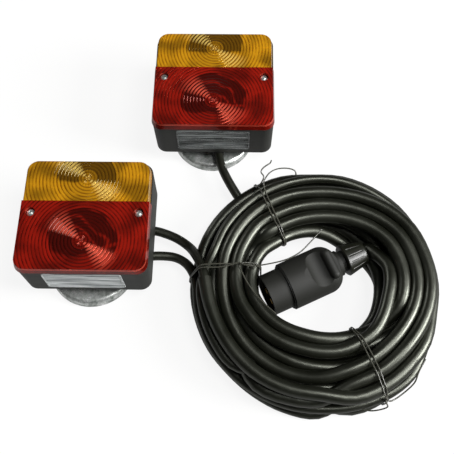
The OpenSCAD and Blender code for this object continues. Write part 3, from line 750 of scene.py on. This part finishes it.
@dataclass
class CableCoil:
    """The loose coil: one sheathed cable and the thinner link cable, wound together.

    Each way gives angle in degrees, unwound, then radius and height in millimetres. The top
    turns lie as the photograph shows them. The turns below are set out in layers, and all
    are then pushed apart, at stations round the coil, until they lie beside each other.

    The outline gives angle, radius at outline_height and lean of the coil's outer side. The
    shown spans are the angles at which a cable lies in view. Where a field has two values for
    a turn, the first is for a turn in view and the second for a hidden one.
    """

    centre: Pair = (136.5, -104.0)
    sheath_d: float = 11.0
    link_d: float = 8.0
    step: int = 15
    top: float = 39.5
    sheath_run: tuple[int, int] = (15, -5220)
    link_run: tuple[int, int] = (180, 1200)
    sheath_shown: tuple[tuple[int, int], ...] = ((-5221, -5120), (-2040, -1650), (-800, 16))
    link_shown: tuple[tuple[int, int], ...] = ((179, 540), (1130, 1201))
    inner_shift: float = 5.0
    inner_radii: Pair = (85.0, 60.0)
    inner_height: float = 20.0
    seed: int = 3
    drift_knots: int = 6
    drift: Pair = (1.6, 0.5)
    tie_angles: tuple[float, ...] = (120.0, 171.0, 301.0)
    tie_room: float = 1.7
    tie_stations: float = 1.6
    rounds: int = 420
    pushes: int = 3
    hold: Pair = (0.35, 0.03)
    give: Pair = (0.25, 1.0)
    smoothing: float = 0.25
    outline_height: float = 15.0
    outline: tuple[Point, ...] = (
        (0, 102.4, -0.30), (18, 103, -0.38), (30, 104, -0.43), (50, 107, -0.53),
        (76, 107, -0.56), (90, 104.7, -0.53), (116, 107.5, -0.43), (140, 106.5, -0.33),
        (163, 104.6, -0.18), (187, 103, -0.03), (207, 103, 0.07), (229, 102.5, 0.15),
        (243, 104.6, 0.17), (262, 107, 0.16), (289, 106.7, 0.10), (315, 107, -0.03),
        (324, 105.3, -0.08), (331, 102, -0.10), (338, 100, -0.15), (348, 101, -0.20),
    )  # fmt: skip
    top_turns: tuple[Point, ...] = (
        (21, 59, 27), (7, 60.5, 33), (-7, 59, 34), (-25, 60, 34), (-42, 60, 34),
        (-56, 59, 34), (-79, 60, 34), (-97, 58, 34), (-118, 58, 34), (-137, 60, 34),
        (-156, 62, 34), (-171, 65, 34), (-186, 66, 34), (-201, 67, 34), (-221, 65, 34),
        (-242, 65, 34), (-277, 67, 34), (-296, 71, 34), (-314, 75, 34), (-330, 79, 34),
        (-347, 81, 34), (-362, 80.5, 34), (-376, 79.5, 34), (-392, 77.5, 34),
        (-409, 76, 34), (-427, 75.5, 34), (-443, 77, 32), (-461, 79, 28), (-479, 78, 27),
        (-494, 78, 27), (-511, 77, 28), (-528, 76, 29), (-545, 76, 31), (-561, 77, 33),
        (-580, 77, 34), (-612, 78, 34), (-636, 78, 34), (-653, 82, 34), (-673, 87, 34),
        (-690, 90.5, 34), (-706, 90, 34), (-721, 89, 34), (-735, 87, 34),
        (-750, 85, 34), (-764, 84, 34), (-777, 85, 33), (-791, 86, 31),
    )  # fmt: skip
    third_layer: tuple[Point, ...] = (
        (-830, 86, 24.5), (-1080, 83, 24.5), (-1110, 74, 24.5), (-1155, 70, 24.5),
        (-1199, 69, 24.5), (-1217, 72, 24.5), (-1440, 71, 24.5), (-1500, 62, 24.5),
        (-1600, 60, 25), (-1635, 59, 30),
    )  # fmt: skip
    inner_turn: tuple[Point, ...] = (
        (-1650, 59, 33), (-1662, 58, 34), (-1677, 55.5, 34), (-1698, 54.5, 34),
        (-1718, 56, 34), (-1740, 61, 34), (-1766, 69.5, 34), (-1782, 70.5, 34),
        (-1798, 69.5, 34), (-1811, 68, 33), (-1826, 64, 29), (-1845, 57, 25),
        (-1865, 51.5, 29), (-1884, 48.5, 32), (-1904, 47.5, 33), (-1926, 49.5, 33),
        (-1946, 52, 33), (-1963, 54.5, 33), (-1978, 54.5, 33), (-1993, 53, 33),
        (-2012, 51, 32), (-2032, 49, 29), (-2060, 51, 23), (-2100, 59, 15),
        (-2130, 61, 9),
    )  # fmt: skip
    lower_slots: tuple[Pair, ...] = (
        (62, 5.5), (58, 15), (69, 15), (73, 5.5), (84, 5.5), (80, 15), (91, 12),
    )  # fmt: skip
    sheath_end: tuple[Point, ...] = (
        (-4710, 92, 12), (-4950, 94, 13), (-5040, 96, 20), (-5090, 95, 27),
        (-5130, 91.5, 33), (-5144, 91, 34), (-5156, 91, 34), (-5168, 90, 34),
        (-5181, 89, 34), (-5194, 88, 34), (-5208, 88.5, 34), (-5221, 91, 34),
    )  # fmt: skip
    link_way: tuple[Point, ...] = (
        (179, 98, 15), (205, 98, 15), (231, 98, 15), (245, 99, 15), (276, 99, 15),
        (292, 101, 15), (309, 103, 15), (320, 102, 15), (335, 97, 14), (360, 98, 15),
        (400, 98, 20), (414, 97, 24), (429, 96, 27), (444, 94, 29), (465, 90.5, 31),
        (476, 89, 32), (500, 87, 33), (520, 87, 33), (535, 86, 31), (560, 87, 25),
        (600, 86, 20), (720, 90, 20), (810, 93, 12), (900, 95, 6), (1020, 92, 5),
        (1080, 66, 4.5), (1110, 60, 4.5), (1155, 58, 4.5), (1170, 60, 4.5), (1185, 68, 5),
        (1200, 87, 6),
    )  # fmt: skip
    main: np.ndarray = field(default_factory=lambda: np.zeros((0, 3)))
    link: np.ndarray = field(default_factory=lambda: np.zeros((0, 3)))
    sections: dict[int, list[Point]] = field(default_factory=dict)

    def point(self, angle: float, radius: float, height: float) -> Point:
        """Turns a place on the coil into millimetres in the frame.

        Args:
            angle: Degrees round the coil.
            radius: Distance from its middle.
            height: Height over the ground.

        Returns:
            The same place as x, y and z.
        """
        a = math.radians(angle)
        x, y = self.centre
        return (x + radius * math.cos(a), y + radius * math.sin(a), height)

    def sheath_way(self) -> list[Point]:
        """Returns the sheathed cable's way, from the plug to the sheath's end."""
        lower = []
        for k, (radius, height) in enumerate(self.lower_slots):
            start = -2170 - 360 * k
            lower += [(start, radius, height), (start - 270, radius, height)]
        return [*self.top_turns, *self.third_layer, *self.inner_turn, *lower, *self.sheath_end]

    def at_stations(self, way: Sequence[Point], run: tuple[int, int]) -> np.ndarray:
        """Reads a way at every station.

        Args:
            way: Angle, radius and height, in either direction.
            run: The first and the last station's angle.

        Returns:
            Angle, radius and height at each station, in order.
        """
        table = np.array(sorted(way), float)
        first, last = run
        sign = 1 if last > first else -1
        angles = np.arange(first, last + sign, sign * self.step, float)
        columns = [np.interp(angles, table[:, 0], table[:, k]) for k in (1, 2)]
        return np.stack([angles, *columns], axis=1)

    def goals(
        self, rows: np.ndarray, runs: Sequence[slice], shown: np.ndarray
    ) -> np.ndarray:
        """Says where each sample wants to lie.

        The lower inner turns keep clear of the coil's hole at the right, and hidden turns
        wander a little, as cable does.

        Args:
            rows: Angle, radius and height of each sample.
            runs: The samples of each cable.
            shown: Which samples lie in view.

        Returns:
            Radius and height of each sample.
        """
        goal = rows[:, 1:].copy()
        rightward = np.clip(np.cos(np.radians(rows[:, 0])), 0, 1)
        outer, inner = self.inner_radii
        inward = np.clip((outer - goal[:, 0]) / (outer - inner), 0, 1)
        inward = inward * (goal[:, 1] < self.inner_height) * ~shown
        goal[:, 0] += self.inner_shift * rightward * inward
        chance = np.random.default_rng(self.seed)
        for run in runs:
            size = len(goal[run])
            knots = np.arange(size // self.drift_knots + 2) * self.drift_knots
            for axis, reach in enumerate(self.drift):
                drift = np.interp(np.arange(size), knots, chance.normal(0, reach, len(knots)))
                goal[run, axis] += drift * ~shown[run]
        return goal

    def wind(self) -> None:
        """Lays both cables and pushes their turns apart until they lie side by side."""
        sheath = self.at_stations(self.sheath_way(), self.sheath_run)
        link = self.at_stations(self.link_way, self.link_run)
        rows = np.vstack([sheath, link])
        count = len(sheath)
        runs = (slice(0, count), slice(count, None))
        radius = np.where(np.arange(len(rows)) < count, self.sheath_d, self.link_d) / 2
        shown = np.concatenate(
            [within(sheath[:, 0], self.sheath_shown), within(link[:, 0], self.link_shown)]
        )
        goal = self.goals(rows, runs, shown)
        around = 360 // self.step
        station = np.round(rows[:, 0] / self.step).astype(int) % around
        groups = [np.where(station == s)[0] for s in range(around)]
        near_tie = np.zeros(len(rows))
        for angle in self.tie_angles:
            away = np.abs((station * self.step - angle + 180) % 360 - 180) / self.step
            near_tie = np.maximum(near_tie, np.clip(self.tie_stations - away, 0, 1))
        floor = radius + self.tie_room * near_tie
        edge = np.array(self.outline)
        turn = rows[:, 0] % 360
        limit, lean = (np.interp(turn, edge[:, 0], edge[:, k], period=360) for k in (1, 2))
        hold = np.where(shown, *self.hold)
        give = np.where(shown, *self.give)
        spot = goal.copy()
        for _ in range(self.rounds):
            spot += hold[:, None] * (goal - spot)
            for run in runs:
                line = spot[run]
                pull = np.zeros_like(line)
                pull[1:-1] = 0.5 * (line[2:] + line[:-2]) - line[1:-1]
                spot[run] += self.smoothing * pull * (~shown[run])[:, None]
            for _ in range(self.pushes):
                self.part(spot, groups, radius, give)
            side = limit + lean * (spot[:, 1] - self.outline_height)
            spot[:, 0] = np.minimum(spot[:, 0], side - radius)
            spot[:, 1] = np.clip(spot[:, 1], floor, self.top - radius)
        for s, group in enumerate(groups):
            self.sections[s * self.step] = [
                (float(spot[i, 0]), float(spot[i, 1]), float(radius[i])) for i in group
            ]
        laid = np.array([self.point(a, r, z) for a, (r, z) in zip(rows[:, 0], spot)], float)
        self.main, self.link = laid[:count], laid[count:]
        LOG.info("wound the coil: %d samples", len(laid))

    @staticmethod
    def part(
        spot: np.ndarray, groups: list[np.ndarray], radius: np.ndarray, give: np.ndarray
    ) -> None:
        """Moves turns that lie in each other apart, at every station.

        Args:
            spot: Radius and height of each sample, changed in place.
            groups: The samples of each station.
            radius: The cable's own radius at each sample.
            give: How readily each sample moves.
        """
        for group in groups:
            place = spot[group]
            apart = place[:, None, :] - place[None, :, :]
            gap = np.hypot(apart[..., 0], apart[..., 1])
            need = radius[group][:, None] + radius[group][None, :]
            np.fill_diagonal(gap, 1e9)
            over = np.clip(need - gap, 0, None)
            share = give[group][:, None] / (give[group][:, None] + give[group][None, :])
            push = apart / np.maximum(gap, 1e-6)[..., None] * (over * share)[..., None]
            spot[group] += 0.5 * push.sum(axis=1)


def within(angles: np.ndarray, spans: Sequence[tuple[int, int]]) -> np.ndarray:
    """Says which angles lie inside one of the spans."""
    return np.any([(low < angles) & (angles < high) for low, high in spans], axis=0)


@dataclass
class Cables:
    """The sheathed main cable, the lead that comes out of its sheath, and the link cable."""

    coil: CableCoil
    plug_at: Point = (136.7, -94.1, 20.0)
    plug_turn: float = 26.0
    gland: tuple[Pair, ...] = ((42.0, 0.0), (46.0, 0.0), (50.0, 1.0))
    plug_nodes: tuple[str, ...] = (
        "plug_front", "plug_body", "plug_pins", "gland_nut", "gland_seal",
    )  # fmt: skip
    upper_lead: tuple[Point, ...] = (
        (-9.95, -50.67, 12.75), (-3.0, -53.2, 12.75), (7, -55.5, 12.6), (20, -61, 13),
        (31.4, -70.2, 16), (38.5, -82, 24.5), (43.2, -94, 32), (45.6, -103, 34),
        (46.4, -109, 34),
    )  # fmt: skip
    lower_lead: tuple[Point, ...] = (
        (-9.5, -77.7, 12.75), (-2.0, -77.3, 12.5), (8, -76.6, 11.5), (19, -77.5, 10.5),
        (28.5, -83, 11.5), (35.0, -92.5, 14),
    )  # fmt: skip
    right_lead: tuple[Point, ...] = (
        (89, -37.2, 7), (76, -25.6, 11.5), (66, -10.5, 14), (58.5, 4.6, 14.5),
        (55.0, 17, 13.2), (54.04, 25.0, 12.75),
    )  # fmt: skip

    def build(self, sheath: Material, nodes: CadNodes) -> None:
        """Args:
            sheath: The finish of their sheaths.
            nodes: The CAD nodes by name.
        """
        coil = self.coil
        angle = math.radians(self.plug_turn)
        heading = np.array([math.cos(angle), math.sin(angle), 0.0])
        out_of_gland = [
            np.array(self.plug_at) + heading * ahead + np.array([0, 0, up])
            for ahead, up in self.gland
        ]
        main = spline_through(np.vstack([out_of_gland, coil.main]), 3)[::-1]
        upper = spline_through(np.array(self.upper_lead, float), 6)
        link = spline_through(np.vstack([self.lower_lead, coil.link, self.right_lead]), 4)
        plug = [nodes[name] for name in self.plug_nodes]
        stands_for = ("cable_coil", "main_cable_tail")
        cord = RoundCord("main_cable", CordKind.MAIN, coil.sheath_d, stands_for)
        cord.build(main, sheath, with_pieces=plug)
        cord = RoundCord("left_lamp_lead", CordKind.LEAD, coil.link_d, ("left_main_lead",))
        cord.build(upper, sheath)
        stands_for = ("left_link_lead", "right_link_lead")
        cord = RoundCord("link_cable", CordKind.LINK, coil.link_d, stands_for)
        cord.build(link, sheath)


# Wire ties


def tight_outline(dots: Sequence[Pair]) -> np.ndarray:
    """Finds the tightest outline round flat points.

    Args:
        dots: The points, sorted.

    Returns:
        The outline's corners, with the first one again at the end.
    """
    halves = []
    for row in (dots, dots[::-1]):
        hull: list[Pair] = []
        for p in row:
            while len(hull) > 1 and (
                (hull[-1][0] - hull[-2][0]) * (p[1] - hull[-2][1])
                - (hull[-1][1] - hull[-2][1]) * (p[0] - hull[-2][0])
            ) <= 0:
                hull.pop()
            hull.append(p)
        halves.append(hull[:-1])
    ring = np.array(halves[0] + halves[1])
    return np.vstack([ring, ring[:1]])


@dataclass
class WireTie:
    """One length of coated wire: twice round the coil, ends twisted together, then loose.

    The two turns spread apart over the coil. Where they meet the loose ends, the wire is
    smoothed, because a sharp corner is tighter than such a wire bends.
    """

    name: str
    node: str
    outer_angle: float
    inner_angle: float
    start: tuple[Point, ...]
    finish: tuple[Point, ...]
    knot: Point
    wire_d: float = 1.2
    gap: float = 0.15
    dots_round: int = 24
    ring_points: int = 60
    spread: float = 1.6
    end_steps: int = 6
    soft_points: int = 3
    soft_rounds: int = 10

    def build(self, coil: CableCoil, material: Material) -> None:
        """Args:
            coil: The wound coil that it holds.
            material: Its finish.
        """
        cord = RoundCord(self.name, CordKind.TIE, self.wire_d, (self.node,))
        cord.build(self.way(coil), material)

    def outline(self, coil: CableCoil) -> np.ndarray:
        """Fits the wire round the turns where the tie stands.

        Args:
            coil: The wound coil.

        Returns:
            Evenly spaced points round the turns, as radius and height.
        """
        middle = (self.outer_angle + self.inner_angle) / 2
        low = int(middle // coil.step) * coil.step
        circles = coil.sections[low % 360] + coil.sections[(low + coil.step) % 360]
        dots = []
        for r, z, size in circles:
            for k in range(self.dots_round):
                a = 2 * math.pi * k / self.dots_round
                reach = size + self.wire_d / 2 + self.gap
                height = max(z + reach * math.sin(a), self.wire_d / 2)
                dots.append((r + reach * math.cos(a), height))
        ring = tight_outline(sorted(set(dots)))
        along = np.concatenate([[0], np.cumsum(np.linalg.norm(np.diff(ring, axis=0), axis=1))])
        spots = np.linspace(0, along[-1], self.ring_points + 1)[:-1]
        return np.stack([np.interp(spots, along, ring[:, k]) for k in (0, 1)], axis=1)

    def turns(self, coil: CableCoil) -> np.ndarray:
        """Lays the two turns, from the knot and back to it.

        Args:
            coil: The wound coil.

        Returns:
            The turns' points in millimetres.
        """
        ring = self.outline(coil)
        reach = math.hypot(self.knot[0] - coil.centre[0], self.knot[1] - coil.centre[1])
        first = int(np.argmin(np.linalg.norm(ring - (reach, self.knot[2]), axis=1)))
        ring = np.roll(ring, -first, axis=0)
        inner, outer = ring[:, 0].min(), ring[:, 0].max()
        turns = []
        for k in range(2 * len(ring) + 1):
            r, z = ring[k % len(ring)]
            share = (r - inner) / (outer - inner)
            angle = self.inner_angle + share * (self.outer_angle - self.inner_angle)
            aside = self.wire_d * (k / len(ring) - 1)
            aside *= 1 + self.spread * math.sin(math.pi * share)
            x, y, _ = coil.point(angle, r, 0)
            turn = math.radians(angle + 90)
            turns.append((x + aside * math.cos(turn), y + aside * math.sin(turn), z))
        return np.array(turns)

    def way(self, coil: CableCoil) -> np.ndarray:
        """Lays the whole wire: loose end, two turns, loose end.

        Args:
            coil: The wound coil.

        Returns:
            The wire's centreline in millimetres.
        """
        body = self.turns(coil)[2:-3]
        head = np.vstack([np.array(self.start, float), body[:1]])
        tail = np.vstack([body[-1:], np.array(self.finish, float)])
        before = spline_through(head, self.end_steps)[:-1]
        after = spline_through(tail, self.end_steps)[1:]
        way = np.vstack([before, body, after])
        place = np.arange(len(way))
        tied = len(before) + len(body)
        free = (place < len(before) + self.soft_points) | (place >= tied - self.soft_points)
        free[[0, -1]] = False
        for _ in range(self.soft_rounds):
            between = 0.5 * (np.roll(way, 1, axis=0) + np.roll(way, -1, axis=0))
            way = np.where(free[:, None], 0.5 * (way + between), way)
        return way


# The three ties, where the photograph shows them
TIES = (
    WireTie(
        "tie_wire_upper", "tie_upper", 118.0, 127.0,
        start=((121.4, -10.7, 36), (120.5, -7.5, 39), (113.1, -7.1, 42), (104.5, -9, 44),
            (98, -13, 44), (94.5, -18, 42), (93.2, -22, 41)),
        finish=((91.5, -21, 41), (94.2, -15.5, 43), (90.5, -13, 45), (94, -8, 46),
            (99, -5, 46), (100, -1, 44)),
        knot=(93.3, -25.3, 39),
    ),
    WireTie(
        "tie_wire_left", "tie_left", 176.0, 168.7,
        start=((102.6, -135.1, 40.5), (90.2, -123.9, 41), (81, -111.7, 41.5),
            (76, -102, 42.5), (73.4, -95.5, 42)),
        finish=((72.5, -93, 42), (76, -95, 43), (83.5, -97.3, 44), (95.4, -95.7, 45),
            (107.4, -93.1, 45.5), (115.3, -89.9, 46), (123.4, -84.8, 46.3),
            (133.1, -73.8, 46), (140.1, -64.9, 45)),
        knot=(71.5, -92.0, 41),
    ),
    WireTie(
        "tie_wire_lower", "tie_lower", 298.5, 304.0,
        start=((216.4, -168, 36), (209.5, -179.2, 34), (208.6, -184.7, 30), (198.2, -193.3, 26),
            (189, -199, 28), (184.6, -197.5, 33)),
        finish=((184, -199.5, 32), (187.5, -202, 26), (185.5, -203, 21), (176.2, -204.5, 17),
            (169, -202.6, 15)),
        knot=(184.6, -194.4, 38),
    ),
)  # fmt: skip


# Lamps and plug


class Side(Enum):
    """Which lamp of the pair, by the word that starts its nodes' names."""

    LEFT = "left"
    RIGHT = "right"


LAMP_WEARS: dict[Slot, tuple[str, ...]] = {
    Slot.HOUSING: ("base_housing",),
    Slot.SEAL: ("lens_seal", "magnet_spacer", "cable_elbows"),
    Slot.ZINC: ("lens_screws", "magnet_cup", "magnet_bolt", "magnet_nut"),
    Slot.REFLECTOR: ("reflector",),
    Slot.BOARD: ("bulb_carrier",),
    Slot.BRASS: ("bulb_sockets", "contact_springs"),
    Slot.AMBER_GLASS: ("indicator_bulb_glass",),
    Slot.CLEAR_GLASS: ("stop_bulb_glass",),
    Slot.CAP: ("indicator_bulb_cap", "stop_bulb_cap"),
    Slot.FERRITE: ("magnet_ring",),
}
PLUG_WEARS: dict[Slot, tuple[str, ...]] = {
    Slot.PLUG: ("plug_front", "plug_body"),
    Slot.BRASS: ("plug_pins",),
    Slot.SEAL: ("gland_seal",),
}


@dataclass
class Lamp:
    """One rear lamp on its magnet foot."""

    side: Side
    centre: Pair
    indicator_y: float = 31.2
    stop_y: float = -23.5

    def lenses(self) -> dict[str, Finish]:
        """Returns the finishes that belong to this lamp alone, by the part that wears them."""
        side = self.side.value
        x, y = self.centre
        # Painted light and painted shade on one clear window: the left copy is lighter, as it
        # stands in full light and looks silvery; the right copy is darker, so it looks smoked
        if self.side is Side.LEFT:
            window = FlutedWindow(f"clear_acrylic_window_{side}", "#f4f8f8", "#8a9092", 0.3)
        else:
            window = FlutedWindow(f"clear_acrylic_window_{side}", "#a9aead", "#3c3f3e", 0.6)
        return {
            "plate_window": window,
            # Each lens gets its colour, its painted groove shade, its painted chamber shade and
            # the lit colour of its painted highlights
            "lens_amber": FlutedAcrylic(
                f"amber_acrylic_{side}", "#d89a18", "#8a540a", "#3a2407", "#ffdc78",
                (x, y + self.indicator_y), chamber_mm=24.5, lower_dark=0.2, cut_mm=-4.0,
            ),
            "lens_red": FlutedAcrylic(
                f"red_acrylic_{side}", "#9c1c10", "#540d08", "#260806", "#ff6c54",
                (x, y + self.stop_y), chamber_mm=27.0, lower_dark=0.3, cut_mm=-12.0, crest=0.4,
                glints=(PaintedGlint(-8, -9, 28), PaintedGlint(-14, -18, 30), PaintedGlint(16, 30, 36, 1.4)),
            ),
        }  # fmt: skip

    def build(self, finishes: Mapping[Slot, Material], nodes: CadNodes) -> None:
        """Dresses the lamp's CAD nodes.

        Args:
            finishes: The shared materials.
            nodes: The CAD nodes by name.
        """
        for slot, parts in LAMP_WEARS.items():
            for part in parts:
                dress(nodes[f"{self.side.value}_{part}"], finishes[slot])
        for part, finish in self.lenses().items():
            dress(nodes[f"{self.side.value}_{part}"], finish.build())
        LOG.info("dressed the %s lamp", self.side.value)


@dataclass
class Plug:
    """The seven-pin plug that lies in the coil."""

    # Nylon polished by the mould, with coarse waves that break its highlight up
    nut: Finish = MouldedPlastic("polished_nylon_nut", "#191a13", "#101109", 0.38, 1.4, 0.05)

    def build(self, finishes: Mapping[Slot, Material], nodes: CadNodes) -> None:
        """Dresses the plug's CAD nodes.

        Args:
            finishes: The shared materials.
            nodes: The CAD nodes by name.
        """
        for slot, parts in PLUG_WEARS.items():
            for part in parts:
                dress(nodes[part], finishes[slot])
        dress(nodes["gland_nut"], self.nut.build())
        LOG.info("dressed the plug")


# Studio


@dataclass(frozen=True)
class Softbox:
    """One rectangular studio light, in metres and watts."""

    name: str
    place: Point
    aim: Point
    width: float
    height: float
    watts: float

    def build(self) -> None:
        """Adds the light, turned towards its aim."""
        lamp = bpy.data.lights.new(self.name, "AREA")
        lamp.shape = "RECTANGLE"
        lamp.size, lamp.size_y = self.width, self.height
        lamp.energy = self.watts
        holder = bpy.data.objects.new(self.name, lamp)
        holder.location = self.place
        look = Vector(self.aim) - Vector(self.place)
        holder.rotation_euler = look.to_track_quat("-Z", "Y").to_euler()
        bpy.context.scene.collection.objects.link(holder)


@dataclass
class Studio:
    """Camera, pale floor, plain surroundings and soft lights.

    right, up and back are the camera's own axes. The floor lies under the plug's grip bar,
    which reaches a little lower than the magnets do. The surroundings are white to the eye;
    to gloss they fall from horizon_glow to ceiling_glow, at the height ceiling_from.
    """

    camera_at: Point = (0.07295, -0.29397, 0.56596)
    right: Point = (0.999803, 0.016475, -0.011091)
    up: Point = (-0.010584, 0.914544, 0.404349)
    back: Point = (0.016805, -0.404152, 0.914538)
    lens_mm: float = 55.5
    sensor_mm: float = 36.0
    nearest: float = 0.01
    floor_z: float = -0.0009
    floor_size: float = 8.0
    soft_light: float = 0.18
    horizon_glow: float = 0.5
    ceiling_glow: float = 0.035
    ceiling_from: float = 0.13
    lights: tuple[Softbox, ...] = (
        Softbox("key_softbox", (0.80, -0.21, 1.85), (0.0, 0.0, 0.03), 0.65, 0.65, 22.0),
        Softbox("side_softbox", (1.4, -0.28, 0.8), (0.14, -0.1, 0.02), 0.62, 0.62, 38.0),
        Softbox("rear_softbox", (-1.3, 1.1, 0.8), (0.05, -0.05, 0.0), 0.4, 0.4, 6.0),
    )

    def place_camera(self) -> None:
        """Sets the camera where the photograph was taken from."""
        data = bpy.data.cameras.new("camera")
        data.lens = self.lens_mm
        data.sensor_width = self.sensor_mm
        data.clip_start = self.nearest
        holder = bpy.data.objects.new("camera", data)
        turn = Matrix((self.right, self.up, self.back)).transposed().to_4x4()
        holder.matrix_world = Matrix.Translation(self.camera_at) @ turn
        bpy.context.scene.collection.objects.link(holder)
        bpy.context.scene.camera = holder

    def lay_floor(self) -> None:
        """Lays a pale floor that looks white and still takes a soft shadow."""
        bpy.ops.object.select_all(action="DESELECT")
        bpy.ops.mesh.primitive_plane_add(size=self.floor_size, location=(0, 0, self.floor_z))
        floor = bpy.context.object
        floor.name = "studio_floor"
        floor.data.materials.append(PalePaper("pale_paper_floor").build())

    def surround(self) -> None:
        """Gives white surroundings to the eye, and a duller ceiling to gloss and to light."""
        world = bpy.data.worlds.new("studio")
        world.use_nodes = True
        world.node_tree.nodes.clear()
        add = partial(add_node, world.node_tree)
        ray = add("LightPath").outputs
        seen = add("Math", [ray["Is Glossy Ray"], ray["Is Transmission Ray"]], "MAXIMUM")
        height = add("SeparateXYZ", [add("TexCoord").outputs["Generated"]]).outputs[2]
        glows = [self.horizon_glow, self.ceiling_glow]
        ceiling = add("MapRange", [height, 0.0, self.ceiling_from, *glows])
        level = add("Mix", [seen, self.soft_light, ceiling])
        strength = add("Mix", [ray["Is Camera Ray"], level, 1.0])
        glow = add("Background", {"Color": WHITE, "Strength": strength})
        add("OutputWorld", {"Surface": glow})
        bpy.context.scene.world = world

    def build(self) -> None:
        """Builds floor, surroundings and lights."""
        self.lay_floor()
        self.surround()
        for light in self.lights:
            light.build()
        bpy.context.scene.view_settings.view_transform = "Standard"
        LOG.info("studio with %d lights", len(self.lights))


def main() -> None:
    """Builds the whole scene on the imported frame."""
    logging.basicConfig(level=logging.INFO, format="%(name)s: %(message)s")
    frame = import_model()
    nodes = frame["nodes"]
    studio = Studio()
    studio.place_camera()
    finishes = {slot: finish.build() for slot, finish in SHARED_FINISHES.items()}
    LOG.info("built %d shared finishes", len(finishes))
    coil = CableCoil()
    coil.wind()
    Cables(coil).build(finishes[Slot.SHEATH], nodes)
    for tie in TIES:
        tie.build(coil, finishes[Slot.TIE])
    Lamp(Side.LEFT, (-50.0, -61.1)).build(finishes, nodes)
    Lamp(Side.RIGHT, (50.0, 69.9)).build(finishes, nodes)
    Plug().build(finishes, nodes)
    studio.build()
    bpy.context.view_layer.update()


if __name__ == "__main__":
    main()
